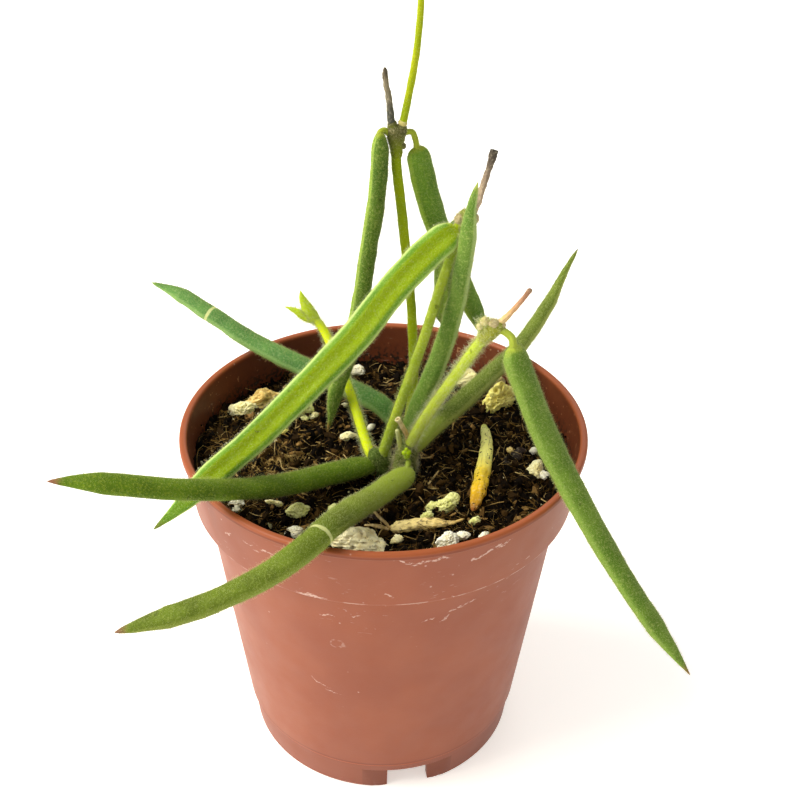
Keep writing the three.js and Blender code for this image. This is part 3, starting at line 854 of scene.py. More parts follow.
MARKS = (
    Mark(-45.8, 50.8, 0.8, 0.35, 0.3), Mark(-38, 51.6, 1.1, 0.2, -0.1), Mark(-31.3, 51.6, 1.3, 0.3, -0.15),
    Mark(5.4, 54.0, 1.6, 0.22, -0.25), Mark(9.5, 53.6, 1.6, 0.25, 0.15), Mark(14.5, 53.8, 1.8, 0.3, 0.1),
    Mark(25.3, 52.4, 1.5, 0.35, 0.25), Mark(29, 53.0, 1.6, 0.3, 0.35), Mark(33.1, 53.2, 1.4, 0.4, 0.2),
    Mark(-22.5, 46.0, 1.2, 0.25, -0.1), Mark(-18.4, 45.9, 1.7, 0.3, -0.12), Mark(-14.5, 45.3, 1.3, 0.22),
    Mark(-16.5, 40.6, 1.3, 0.2), Mark(-8, 41.4, 0.9, 0.18), Mark(19, 39.6, 1.2, 0.3, 0.4),
    Mark(22.5, 41.0, 1.6, 0.35, 0.3), Mark(27, 41.6, 1.2, 0.2, 0.2), Mark(14, 40, 1.0, 0.18, 0.2),
    Mark(-7.5, 24.5, 0.25, 0.2), Mark(10.3, 34.6, 0.22, 0.22), Mark(19, 45.6, 0.35, 0.25),
    Mark(-22, 25.0, 2.2, 0.12, -0.35), Mark(-17, 23.6, 2.0, 0.1, -0.2), Mark(2, 47.6, 0.9, 0.25, -0.2),
)


@dataclass(frozen=True)
class PotPlastic:
    """Moulded terracotta-coloured plastic with chalky scuffs round the collar."""

    collar_foot: float
    height: float
    radius: float
    curl_turn: float = -14.3
    curl_height: float = 34.9

    def make(self) -> Material:
        """Lays out the plastic.

        Returns:
            The material: softly clouded terracotta, a painted warm reflection on the right side, an
            orange lip with painted shade in the crease under it, the foot's bright step and its seam,
            painted shade in the notches' recesses, painted shade over the inner wall with soil dust
            towards the soil line, and chalky scuffs.
        """
        s = Sheet(
            "pot_plastic", 0.5, "884224", Subsurface_Weight=0.05, Subsurface_Scale=0.8 * MM,
            Subsurface_Radius=(1.0, 0.4, 0.25), Specular_IOR_Level=0.35,
        )
        split = s.nodes.new("ShaderNodeSeparateXYZ")
        s.join(s.place, split.inputs[0])
        across, depth, level = split.outputs
        top = self.height
        s.paint("904929", s.patches(11.0, 3.0, 0.3, 0.72))
        # Painted warm reflection of the floor on the pot's right side, high on the wall and collar.
        s.paint("8e4e28", s.over(across, 2, 26), s.over(level, 30, 52), 0.4)
        s.paint("964c24", s.over(level, top - 0.42, top - 0.3))
        # Painted shade in the crease under the lip.
        s.paint("74300e", s.over(level, top - 0.95, top - 0.8), s.over(level, top - 0.42, top - 0.55), 0.6)
        s.paint("86462e", s.over(level, 5.9, 5.7))
        s.paint("6a2c14", s.over(level, 6.1, 6.25), s.over(level, 6.75, 6.4), 0.5)
        s.paint("a8480c", s.over(level, 5.72, 5.84), s.over(level, 6.24, 6.12))
        # Painted shade on the notches' recessed faces, which the foot ring marks in the second finish value.
        s.paint("5c2a1a", s.upper, 0.3)
        self.inner(s, level)
        turn = s.maths("ARCTAN2", across, s.maths("MULTIPLY", depth, -1.0))
        s.paint("ecd3c4", self.scuffs(s, turn, level))
        rough = s.maths("MULTIPLY_ADD", s.noise(4.0, 3.0), 0.2, 0.4)
        return s.finish(s.noise(0.3, 2.0), 0.03, 0.3, rough)

    def inner(self, s: Sheet, level: Socket) -> None:
        """Paints shade over the inside of the wall and dusts it with soil towards the soil line.

        Args:
            s: The material's sheet. The first finish value marks the inside.
            level: Height above the bench, in metres, which `over` compares with millimetres.
        """
        inside = s.times(s.band(s.along, 0.4, 0.6), s.over(level, 55.3, 54.4))
        # Painted shade: the inside of the wall, which the light hardly reaches.
        s.paint("56260f", inside, 0.85)
        s.paint("703a1e", inside, s.patches(1.6, 4.0, 0.42, 0.75), 0.4)
        s.paint("22140a", s.patches(0.6, 4.0, 0.5, 0.6), s.over(level, 52.8, 49.5), inside)
        s.paint("c08a62", s.patches(0.7, 1.0, 0.7, 0.74), inside, 0.6)

    def scuffs(self, s: Sheet, turn: Socket, level: Socket) -> Socket:
        """Chalky marks, 0 to 1.

        Args:
            s: The material's sheet.
            turn: Angle from the front, in radians.
            level: Height above the bench, in metres, which `over` compares with millimetres.

        Returns:
            The sum of the single marks, wispy at their edges, a broken chalky line on the collar's
            lower edge, one curl, and faint strokes and dots all round.
        """
        foot = self.collar_foot
        strokes = s.band(s.noise(2.6, 4.0, s.stretched(1, 1, 4), 2.0), 0.66, 0.71)
        region = s.times(
            s.over(level, 33, 44), s.over(level, 54.6, 53.4), s.patches(9.0, 1.0, 0.46, 0.6), 0.55)
        edge = s.times(
            s.over(level, foot - 0.1, foot + 0.02), s.over(level, foot + 0.42, foot + 0.2),
            s.patches(2.2, 4.0, 0.42, 0.58), 0.8,
        )
        total = s.maths("ADD", s.times(strokes, region), edge)
        sway = s.maths("MULTIPLY_ADD", s.noise(1.1, 2.0), 2.4, -1.2)
        wide = s.maths("MULTIPLY_ADD", turn, self.radius, sway)
        high = s.maths("MULTIPLY_ADD", s.noise(1.3, 3.0, s.stretched(1.1, 1.1, 0.6)), 1.6, -0.8)
        high = s.maths("MULTIPLY_ADD", level, 1 / MM, high)
        broken = s.band(s.noise(0.55, 3.0, s.stretched(1, 1, 2.5)), 0.4, 0.56)
        for mark in MARKS:
            across = s.maths("SUBTRACT", wide, math.radians(mark.turn) * self.radius)
            up = s.maths("SUBTRACT", high, mark.height)
            up = s.maths("MULTIPLY_ADD", across, -mark.slope, up)
            long = s.maths("MULTIPLY", across, 1 / mark.long)
            tall = s.maths("MULTIPLY", up, 1.35 / mark.tall)
            off = s.maths("ADD", s.maths("MULTIPLY", long, long), s.maths("MULTIPLY", tall, tall))
            total = s.maths("ADD", total, s.times(s.band(off, 1.1, 0.5), broken))
        across = s.maths("SUBTRACT", wide, math.radians(self.curl_turn) * self.radius)
        up = s.maths("SUBTRACT", high, self.curl_height)
        ring = s.maths("SQRT", s.maths("ADD", s.times(across, across, 0.45), s.maths("MULTIPLY", up, up)))
        ring = s.maths("ABSOLUTE", s.maths("SUBTRACT", ring, 0.75))
        total = s.maths("ADD", total, s.times(s.band(ring, 0.2, 0.1), broken, 0.38))
        dots = s.times(s.band(s.cells(3.4), 0.06, 0.03), s.over(level, 15, 40), 0.6)
        return s.times(s.maths("MINIMUM", s.maths("ADD", total, dots), 1.0), 0.46)


@dataclass(frozen=True)
class Peat:
    """Dark moist peat, shaded by a noise, or piece by piece if `by_piece` is set."""

    name: str
    colours: Ramp
    by_piece: bool

    def make(self) -> Material:
        """Lays out the peat, shaded by a noise and with painted shade in the hollows, or by each crumb's own
        value.
        """
        s = Sheet(self.name, 0.9, Specular_IOR_Level=0.08)
        if self.by_piece:
            shade = s.upper
        else:
            # Painted shade: darker where the first finish value is low, which on the plug is the hollows.
            shade = s.times(s.patches(1.0, 5.0, 0.3, 0.7), s.band(s.along, -0.7, 0.5))
        s.colour = s.ramp(shade, self.colours)
        s.paint("0c0704", s.patches(0.35, 3.0, 0.5, 0.7), 0.35)
        return s.finish(s.noise(0.25, 4.0), 0.25, 0.9)


@dataclass(frozen=True)
class Stone:
    """Porous perlite or pumice with brown specks in its pits."""

    name: str
    base: str
    stain: str
    staining: float
    pit: str = "5c4a20"

    def make(self) -> Material:
        """Lays out the stone: pale, stained in clouds, darker in its pits."""
        s = Sheet(
            self.name, 0.9, self.base, Subsurface_Weight=0.35, Subsurface_Scale=0.6 * MM,
            Subsurface_Radius=(1.0, 1.0, 0.9), Specular_IOR_Level=0.1,
        )
        s.paint(self.stain, s.patches(1.5, 4.0, 0.4, 0.66), self.staining)
        s.paint(self.pit, s.band(s.along, -0.35, -0.95), 0.38)
        s.paint(self.pit, s.patches(0.3, 2.0, 0.64, 0.7), 0.7)
        return s.finish(s.noise(0.35, 4.0), 0.3, 0.9)


class Tint(Enum):
    """The finishes that several pieces share."""

    VELVET = Skin(
        "leaf_velvet", "587424", "45621c", "a2ae58", "84a234", "98a430", "8a6a3c", mottling=0.45)
    DARK = Skin("leaf_dark", "5c7816", "465f0e", "9aa634", "", "88a426", "8a5a44", mottling=0.4)
    # The pale stalk colour runs 45 % up this blade: painted light on the leaf's base near the crown.
    OLIVE = Skin(
        "leaf_olive", "63761e", "4e5c16", "929e48", "", "96a83a", "7d5a44", (0.47,), mottling=0.4,
        fade=0.45, margin="7c8a34")
    # The pale stalk colour runs a fifth up this blade: painted light on the leaf's base near the crown.
    OLIVE_BACK = Skin(
        "leaf_olive_back", "728430", "5c6e22", "b0b868", "", "a4b446", "6d7038", mottling=0.4, fade=0.2,
        margin="aab45a")
    MIDDLE = Skin(
        "leaf_middle", "6b8930", "567524", "aebb66", "9abb44", "a6b440", "8a6a3c", mottling=0.35,
        margin="829e42")
    BLUISH = Skin(
        "leaf_bluish", "5e8a42", "4a7438", "9cb478", "", "97ae4a", "6c8a3c", (0.745,), mottling=0.4,
        margin="86aa60")
    TOP_RIGHT = Skin(
        "leaf_fresh", "65882a", "4c7020", "a7b850", "", "98a430", "8a6a3c", mottling=0.4,
        margin="96b23c")
    UPRIGHT = Skin(
        "leaf_upright", "70903a", "5a7e2f", "becb72", "", "8ca048", "9aa650", mottling=0.4,
        margin="a8bc74")
    LIGHT = Skin(
        "leaf_light", "70992e", "578222", "a4c250", "849a02", "a4b71c", "6d7a30", mottling=0.3,
        margin="cfe28c")
    STEM = Skin("stem_green", "acbc36", "92a82c", "d6de80", mottling=0.4)
    STEM_LIME = Skin("stem_lime", "c4d636", "acc026", "dce888", mottling=0.4)
    STEM_GOLD = Skin("stem_gold", "a4ac0c", "889a0a", "bec240", mottling=0.3)
    STEM_YELLOW = Skin("stem_yellow", "9aaa08", "86980a", "b0bc34", mottling=0.3)
    SHOOT = Skin("young_lime", "f0ff1c", "e2fa14", "f8fc80", mottling=0.25, glow=0.3)
    YOUNG = Skin("young_leaf", "d2e624", "bcd21c", "ecf67c", mottling=0.4, glow=0.2)
    BUD = Skin("bud_lime", "b0cc0c", "9cbc0c", "d8e658", mottling=0.25, glow=0.2)
    CROWN = Skin("crown_skin", "66752a", "4c5c20", "a0a45c", mottling=0.6)
    CROWN_DARK = Skin("crown_dark", "4c6020", "38481a", "7c8c44", mottling=0.45)
    NODE = Skin("node_skin", "878e3a", "6a742c", "b8b87a", mottling=0.6)
    NODE_DARK = Skin("node_dark", "66643c", "4c4c28", "928a62", stalk="808e10", mottling=0.6, fade=0.95)
    NODE_OLIVE = Skin("node_olive", "929632", "70762a", "bebc6c", stalk="b4c428", mottling=0.45, fade=0.3)
    KNOB = Skin("node_knob", "bcac80", "94865c", "e0d6ac", mottling=0.5)
    KNOB_CREAM = Skin("node_cream", "d6cc96", "b8a86c", "f0e8c4", mottling=0.5)


class Hair(Enum):
    """The hairs' finishes."""

    PALE = HairFinish("hair_pale", "94a24a", "d8de98")
    LIME = HairFinish("hair_lime", "c4cf60", "f6f6d0")
    GOLDEN = HairFinish("hair_golden", "b0a868", "ece6ba")


class Finishes:
    """Makes each finish once and hands the same material to every piece that asks for it."""

    def __init__(self) -> None:
        """Starts with nothing made."""
        self.made: dict[str, Material] = {}

    def of(self, finish: object) -> Material:
        """The material of a finish or of an Enum member that holds one."""
        finish = finish.value if isinstance(finish, Enum) else finish
        if finish.name not in self.made:
            self.made[finish.name] = finish.make()
        return self.made[finish.name]


# ---------------------------------------------------------------------------------------------
# Pot
# ---------------------------------------------------------------------------------------------

@dataclass
class Pot:
    """The nursery pot: foot ring with three notches, raised floor, wall, collar and lip."""

    height: float = 55.4
    rim_radius: float = 30.0
    lip_width: float = 1.1
    lip_height: float = 0.9
    collar_height: float = 10.0
    collar_foot_radius: float = 28.56
    body_top_radius: float = 26.9
    body_foot_radius: float = 22.17
    step_height: float = 6.14
    foot_top_radius: float = 21.9
    foot_top_height: float = 5.5
    foot_radius: float = 21.3
    foot_wall: float = 1.8
    wall: float = 1.0
    floor_top: float = 5.9
    floor_underside: float = 4.9
    notch_count: int = 3
    notch_turn: float = math.radians(11.3)
    notch_width: float = 14.2
    notch_recess: float = 0.7
    passage: float = 6.6
    notch_height: float = 4.4
    drain_radius: float = 2.6
    drain_circle: float = 12.0
    drain_thickness: float = 0.06
    sides: int = 288
    sharp: float = math.radians(38)

    def wall_inside(self, z: float) -> float:
        """Inside radius of the collar at a height."""
        foot = self.height - self.collar_height
        low, high = self.collar_foot_radius - self.wall, self.rim_radius - self.lip_width
        return low + (high - low) * (z - foot) / self.collar_height

    def outline(self) -> tuple[Array, Array]:
        """The wall's outline with rounded corners.

        Each corner is replaced by a quadratic curve that starts and ends at its own distance from
        the corner. The straight stretches between are left as they are.

        Returns:
            Radii and heights, (n, 2), and for each whether it is inside the pot, 0 or 1.
        """
        foot = self.height - self.collar_height
        ring_inner = self.foot_radius - self.foot_wall
        share = self.notch_height / self.foot_top_height
        at_notch = self.foot_radius + (self.foot_top_radius - self.foot_radius) * share
        corners = [
            (ring_inner, self.floor_underside, 0.2, 0), (ring_inner, self.notch_height, 0.1, 0),
            (at_notch, self.notch_height, 0.1, 0),
            (self.foot_top_radius, self.foot_top_height + 0.3, 0.1, 0),
            (self.body_foot_radius + 0.08, self.step_height - 0.14, 0.14, 0),
            (self.body_top_radius, foot, 0.25, 0),
            (self.collar_foot_radius, foot, 0.35, 0),
            (self.rim_radius - 0.28, self.height - self.lip_height - 0.15, 0.12, 0),
            (self.rim_radius, self.height - self.lip_height + 0.05, 0.12, 0),
            (self.rim_radius, self.height, 0.5, 0),
            (self.rim_radius - self.lip_width, self.height, 0.45, 1),
            (self.wall_inside(foot + 1), foot + 1, 0.5, 1),
            (self.body_top_radius - self.wall, foot - 1, 0.5, 1),
            (self.body_foot_radius - self.wall, self.floor_top, 1.4, 1),
        ]
        spot = np.array([c[:2] for c in corners])
        before = np.concatenate([[[0.0, self.floor_underside]], spot[:-1]])
        after = np.concatenate([spot[1:], [[0.0, self.floor_top]]])
        reach = np.array([c[2] for c in corners])[:, None]
        start = spot + unit(before - spot) * reach
        end = spot + unit(after - spot) * reach
        stops = 6
        t = np.linspace(0, 1, stops)[None, :, None]
        bends = start[:, None] * (1 - t) ** 2 + spot[:, None] * 2 * t * (1 - t) + end[:, None] * t**2
        inside = np.repeat([c[3] for c in corners], stops)
        middle = np.array([[0.0, self.floor_underside]]), np.array([[0.0, self.floor_top]])
        line = np.concatenate([middle[0], bends.reshape(-1, 2), middle[1]])
        return line, np.concatenate([[0], inside, [1]])

    def turned(self) -> Shell:
        """The wall and floor, turned round the pot's axis, with a slight unevenness of the thin wall."""
        line, inside = self.outline()
        angle = np.linspace(0, 2 * np.pi, self.sides, endpoint=False)
        radius, height = line[:, :1], line[:, 1:]
        sag = 0.05 * np.sin(3 * angle + 1) * np.clip((height - 10) / 40, 0, 1) * np.minimum(1, radius / 20)
        rings = turned_about(radius + sag, angle, height)
        lay = np.zeros_like(rings)
        lay[..., 0] = inside[:, None]
        return closed_rings(rings, lay)

    def foot_arc(self, notch: int) -> Shell:
        """One arc of the foot ring, between the passages of two notches.

        The section is a bevelled bar. Near a notch its outer face is drawn in to the flat face of
        the recess, and the ends are cut parallel to the notch's direction.

        Args:
            notch: Which notch the arc starts at.

        Returns:
            The arc's shell.
        """
        inner, bevel, top = self.foot_radius - self.foot_wall, 0.25, self.notch_height + 0.15
        section = np.array([
            (inner, bevel), (inner + bevel, 0), (self.foot_radius - bevel, 0), (self.foot_radius, bevel),
            (self.foot_radius, top * 0.4), (self.foot_radius, top * 0.7), (self.foot_radius, top),
            (inner, top),
        ])
        slope = (self.foot_top_radius - self.foot_radius) / self.foot_top_height
        outer = section[:, 0] > self.foot_radius - 0.01
        r = section[:, 0] + np.where(outer, section[:, 1] * slope, 0)
        step = math.asin(self.notch_width / 2 / self.foot_radius)
        near = math.asin(self.passage / 2 / self.foot_radius)
        spacing = 2 * math.pi / self.notch_count
        edges = [step - 0.004, step + 0.004, spacing - step - 0.004, spacing - step + 0.004]
        turn = np.sort(np.concatenate([np.linspace(near, spacing - near, 80), edges]))
        share = (turn - near) / (spacing - 2 * near)
        cut = np.arcsin(self.passage / 2 / r)
        angle = cut + share[:, None] * (spacing - 2 * cut)
        off = np.minimum(angle, spacing - angle)
        flat = (self.foot_radius - self.notch_recess) / np.cos(off)
        recessed = (turn[:, None] < step) | (turn[:, None] > spacing - step)
        radius = np.where(recessed, np.minimum(r, flat), r)
        angle = angle + FRONT + self.notch_turn + notch * spacing
        height = np.broadcast_to(section[:, 1], angle.shape)
        rings = turned_about(radius, angle, height)
        ends = rings[[0, -1]].mean(axis=1, keepdims=True) + 0 * rings[[0, -1]]
        rings = np.concatenate([ends[:1], rings, ends[1:]])
        lay = np.zeros_like(rings)
        # Marks the recessed faces, where the plastic paints shade.
        lay[1:-1, :, 1] = recessed & (height > 0.1)
        return closed_rings(rings, lay)

    def drains(self) -> Shell:
        """Dark discs half sunk into the floor's underside, where its drain holes are."""
        ball = unit_ball(24)
        even_radius, shade = np.ones(ball.shape[:2]), Ripples(1, 2, 1).at(ball)
        size = (2 * self.drain_radius, 2 * self.drain_radius, self.drain_thickness)
        shells = []
        for number in range(self.notch_count):
            turn = FRONT + self.notch_turn + (number + 0.5) * 2 * math.pi / self.notch_count
            at = turned_about(self.drain_circle, turn, self.floor_underside)
            shells.append(set_down(ball, even_radius, shade, at, size, 0.0))
        return joined(shells)

    def build(self, finishes: Finishes) -> None:
        """Makes the pot in its plastic and the soil that shows in its drain holes."""
        plastic = PotPlastic(self.height - self.collar_height, self.height, self.rim_radius).make()
        shell = joined([self.turned()] + [self.foot_arc(k) for k in range(self.notch_count)])
        place("pot_body", shell, plastic, "pot", ("pot",), self.sharp)
        place("drain_soil", self.drains(), finishes.of(PEAT), "soil")


# ---------------------------------------------------------------------------------------------
# Soil and what lies on it
# ---------------------------------------------------------------------------------------------

PEAT = Peat("peat", ((0.0, "040200"), (0.5, "120b04"), (1.0, "3a2812")), False)
PEAT_CRUMBS = Peat(
    "peat_crumbs", ((0.0, "060301"), (0.5, "160e05"), (0.85, "483314"), (1.0, "9c7a46")), True)
PEAT_FIBRES = Peat(
    "peat_fibres", ((0.0, "140c04"), (0.4, "3a260e"), (0.75, "84662e"), (1.0, "dcc080")), True)
ROOTS = Peat("fine_roots", ((0.0, "7a5a2a"), (1.0, "d0b26c")), True)


class Rock(Enum):
    """The kinds of stone in the soil."""

    WHITE = Stone("perlite_white", "fffbe0", "f4e4ae", 0.4)
    CREAM = Stone("perlite_cream", "fff6be", "f2de84", 0.45)
    SPECKLED = Stone("perlite_speckled", "fff5c6", "e0c87c", 0.45, "5c4618")
    GREEN = Stone("perlite_green", "f0f0a0", "bcc060", 0.6, "5c5a1c")
    YELLOW = Stone("pumice_yellow", "fff48e", "dccc54", 0.5, "8a7a2a")
    TAN = Stone("pumice_tan", "ecd084", "ac8838", 0.6, "402c10")


@dataclass
class Soil:
    """The soil: an uneven plug of peat with crumbs, fibres and specks of perlite on it.

    `wall_slope` is how much the pot widens for each millimetre of height. `bank` is the middle and
    the height of the soil banked up against the left wall. Crumbs show edges that turn by more
    than `crumb_edge`.
    """

    radius: float
    wall_slope: float
    level: float = 49.0
    body: Girth = ((27.4, 46.6), (25.6, 44.2), (20.9, 8.0), (19.8, 6.3), (0, 6.3))
    bank: Point = (-25.0, 3.0, 1.7)
    bank_reach: float = 8.0
    mound_height: float = 0.45
    clod_height: float = 1.25
    grit_height: float = 0.26
    crumb_count: int = 4600
    wall_crumb_count: int = 45
    chip_count: int = 620
    fibre_count: int = 7600
    speck_count: int = 70
    seed: int = 7
    crumb_edge: float = math.radians(25)

    def height_at(self, points: Array) -> Array:
        """Height of the surface over points in the plane.

        It is the level plus low mounds about 9 mm long, ridged clods of 1 to 4 mm, fine grit, and a
        bell-shaped bank at the left wall.

        Args:
            points: Places, (..., 3); only their X and Y count.

        Returns:
            Heights in millimetres, one each.
        """
        flat = points * [1, 1, 0]
        mounds = Ripples(self.seed, 14, 7).at(flat)
        clods = np.abs(Ripples(self.seed + 1, 5, 1.6).at(flat))
        grit = Ripples(self.seed + 2, 1.1, 0.35, 60, 0.5).at(flat)
        off = np.hypot(flat[..., 0] - self.bank[0], flat[..., 1] - self.bank[1])
        bank = self.bank[2] * np.exp(-((off / self.bank_reach) ** 2))
        return (
            self.level + self.mound_height * mounds + self.clod_height * (clods - 0.35)
            + self.grit_height * grit + bank
        )

    def plug(self) -> Shell:
        """The plug: a fine uneven top that meets the wall, over a plain body that follows it."""
        sides, rings = 420, 170
        angle = np.linspace(0, 2 * np.pi, sides, endpoint=False)
        top = turned_about(self.radius * (np.linspace(0, 1, rings) ** 0.8)[:, None], angle, 0)
        top[..., 2] = self.height_at(top)
        top[..., :2] *= 1 + self.wall_slope * (top[..., 2:] - self.level) / self.radius
        under = np.array(self.body)
        grid = np.concatenate([top, turned_about(under[:, :1], angle, under[:, 1:])])
        lay = np.zeros_like(grid)
        # The top's height above the level, from which the peat paints shade into the hollows.
        lay[:rings, :, 0] = top[..., 2] - self.level
        return closed_rings(grid, lay)

    def scattered(self, count: int, random: np.random.Generator, margin: float) -> Array:
        """Random places on the surface, even by area, a margin inside the wall."""
        radius = (self.radius - margin) * np.sqrt(random.random(count))
        angle = 2 * np.pi * random.random(count)
        spots = turned_about(radius, angle, 0)
        spots[:, 2] = self.height_at(spots)
        return spots

    def crumbs(self) -> Shell:
        """Crumbs of 0.2 to 1.4 mm, flat chips of 1 to 3 mm, and crumbs that stick to the wall."""
        random = np.random.default_rng(self.seed)
        at = self.scattered(self.crumb_count, random, 0.3)
        width = 0.22 + 1.2 * random.random(self.crumb_count) ** 4
        size = width[:, None] * (0.5 + random.random((self.crumb_count, 3)))
        at[:, 2] += width * 0.15
        ground = crumbs(at, size, random.random(self.crumb_count) ** 1.8, self.seed, 5, 3)
        turn = 2 * np.pi * random.random(self.wall_crumb_count)
        rise = 0.2 + 2.4 * random.random(self.wall_crumb_count) ** 2.0
        reach = self.radius + self.wall_slope * rise - 0.08
        stuck = turned_about(reach, turn, self.level + rise)
        small = (0.2 + 0.5 * random.random(self.wall_crumb_count) ** 2)[:, None] * np.ones((1, 3))
        chip_at = self.scattered(self.chip_count, random, 1.0)
        chip_at[:, 2] += 0.15
        chip = 0.6 + 0.8 * random.random((self.chip_count, 1)) ** 2
        shade = 0.3 + 0.7 * random.random(self.chip_count)
        chips = crumbs(chip_at, chip * [2.2, 0.8, 0.5], shade, self.seed + 4, 6, 4)
        return joined([ground, chips, crumbs(stuck, small, 0.6 * turn / 6.3, self.seed + 3, 5, 3)])

    def fibres(self) -> Shell:
        """Bent fibres of 1 to 5 mm that lie nearly flat, in bundles that change direction slowly."""
        random = np.random.default_rng(self.seed + 5)
        at = self.scattered(self.fibre_count, random, 1.0)
        turn = 9 * Ripples(self.seed + 6, 16, 6).at(at) + 0.9 * random.normal(size=self.fibre_count)
        long = 0.8 + 4.0 * random.random(self.fibre_count) ** 3
        rise = 0.32 * random.normal(size=self.fibre_count)
        way = np.stack([np.cos(turn), np.sin(turn), rise], axis=-1)
        bend = np.cross(way, [0, 0, 1]) * random.normal(size=(self.fibre_count, 1)) * 0.4
        share = np.linspace(-0.5, 0.5, 5)[:, None, None]
        line = at + (way * share + bend * (share**2 * 2)) * long[:, None]
        line[..., 2] += 0.1 + 0.3 * random.random(self.fibre_count)
        inside = np.linalg.norm(line[..., :2], axis=-1).max(axis=0) < self.radius - 0.3
        girth = 0.03 + 0.1 * random.random(self.fibre_count) ** 3
        shade = random.random(self.fibre_count)
        return spikes(line[:, inside], girth[inside], shade[inside])

    def strands(self, at: Point, reach: float, count: int, long: float, curl: float, seed: int) -> Shell:
        """Fine roots round a place on the surface.

        Each starts at a random place and turns steadily by up to `curl` radians along its length.

        Args:
            at: Middle of the group.
            reach: How far the roots' starts spread.
            count: How many there are.
            long: Their mean length.
            curl: How strongly they bend.
            seed: Start of the random numbers.

        Returns:
            The roots' shell.
        """
        random = np.random.default_rng(seed)
        stops = 9
        spread = random.normal(size=(count, 2)) * reach
        turn = 2 * np.pi * random.random(count)
        swing = curl * random.normal(size=count)
        way = turn + swing * np.linspace(-0.5, 0.5, stops)[:, None]
        step = long * (0.5 + random.random(count)) / stops
        x = at[0] + spread[:, 0] + np.cumsum(np.cos(way) * step, axis=0)
        y = at[1] + spread[:, 1] + np.cumsum(np.sin(way) * step, axis=0)
        off = np.maximum(1, np.hypot(x, y) / (self.radius - 0.3))
        line = np.stack([x / off, y / off, 0 * x], axis=-1)
        line[..., 2] = self.height_at(line)
        line[..., 2] += 0.12 + 0.35 * random.random(count)
        return spikes(line, 0.035 + 0.035 * random.random(count), random.random(count))

    def specks(self) -> Shell:
        """Small bits of perlite, 0.25 to 1 mm."""
        random = np.random.default_rng(self.seed + 9)
        at = self.scattered(self.speck_count, random, 0.8)
        width = 0.25 + 0.75 * random.random(self.speck_count) ** 3
        size = width[:, None] * (0.7 + 0.6 * random.random((self.speck_count, 3)))
        at[:, 2] += width * 0.2
        return crumbs(at, size, random.random(self.speck_count), self.seed + 1, 8, 5)

    def build(self, finishes: Finishes) -> None:
        """Makes the soil and everything fine on it."""
        place("soil_plug", self.plug(), finishes.of(PEAT), "soil", ("soil",))
        place("soil_crumbs", self.crumbs(), finishes.of(PEAT_CRUMBS), "soil", (), self.crumb_edge)
        place("soil_fibres", self.fibres(), finishes.of(PEAT_FIBRES), "soil")
        place("perlite_specks", self.specks(), finishes.of(Rock.CREAM), "perlite", (), self.crumb_edge)
        roots = [
            self.strands((-18.5, -1.0, 0), 1.1, 60, 2.6, 2.5, 31),
            self.strands((-25.6, 0.5, 0), 0.9, 16, 8.0, 1.6, 32),
            self.strands((6.0, -9.0, 0), 3.0, 30, 3.0, 1.5, 33),
            self.strands((20.0, 3.0, 0), 3.0, 30, 3.5, 1.5, 34),
            self.strands((-17.2, -3.4, 0), 1.5, 130, 2.4, 1.6, 35),
            self.strands((-14.0, -1.2, 0), 1.2, 60, 2.2, 1.6, 36),
        ]
        place("fine_roots", joined(roots), finishes.of(ROOTS), "soil")


@dataclass(frozen=True)
class Grain:
    """One stone in the soil: middle, size, turn about Z, kind, and how much it swells past its size."""

    at: Point
    size: Point
    turn: float = 0.0
    rock: Rock = Rock.WHITE
    swelling: float = 1.14

    def shell(self, seed: int, grid: int) -> Shell:
        """The stone's shell, swollen so that its flats, which cut it down, come out at its size."""
        return stone(self.at, tuple(self.swelling * s for s in self.size), self.turn, seed, grid)

    def build(self, number: int, finishes: Finishes) -> None:
        """Makes the stone in the place of its node."""
        name = f"grain_{number:02d}"
        slot = "pumice" if number in PUMICE_GRAINS else "perlite"
        place(f"{name}_stone", self.shell(200 + number, GRAIN_GRID), finishes.of(self.rock), slot, (name,))


GRAIN_GRID, PEBBLE_GRID = 72, 30
PUMICE_GRAINS = (1, 4, 7, 8, 9)
GRAINS = (
    Grain((-19.1, 13.4, 50.3), (6.0, 3.4, 2.9), 0.5, Rock.TAN),
    Grain((-21.9, 10.0, 50.7), (3.8, 2.9, 3.0), 0.3, Rock.CREAM),
    Grain((-13.3, 10.3, 50.9), (4.0, 3.0, 2.8), 0.0, Rock.GREEN),
    Grain((-12.1, -13.9, 49.8), (3.1, 2.2, 1.9), 0.2, Rock.GREEN),
    Grain((-3.4, -21, 50.2), (7.8, 3.7, 3.2), -0.1, Rock.SPECKLED),
    Grain((8.7, -21.4, 50.4), (3.4, 2.6, 2.8), 0.3, Rock.WHITE),
    Grain((8.6, -12.8, 49.9), (2.9, 2.2, 1.9), 0.3, Rock.GREEN),
    Grain((18.6, 14, 50.6), (5.4, 4.6, 4.2), 0.6, Rock.YELLOW),
    Grain((13.3, 20.1, 50.4), (4.6, 3.0, 3.0), -0.2, Rock.CREAM),
    Grain((22.4, -4.4, 50.0), (2.4, 2.8, 2.1), 0.0, Rock.CREAM),
    Grain((-4.5, 23.2, 49.9), (2.4, 2, 1.7), 0.0, Rock.WHITE),
    Grain((3.7, 15.4, 50.0), (1.9, 1.8, 1.9), 0.0, Rock.WHITE),
    Grain((-20.8, -12.4, 49.8), (2, 2, 1.7), 0.0, Rock.WHITE),
    Grain((-12.2, -18.9, 49.9), (2.4, 1.8, 1.8), 0.4, Rock.WHITE),
)

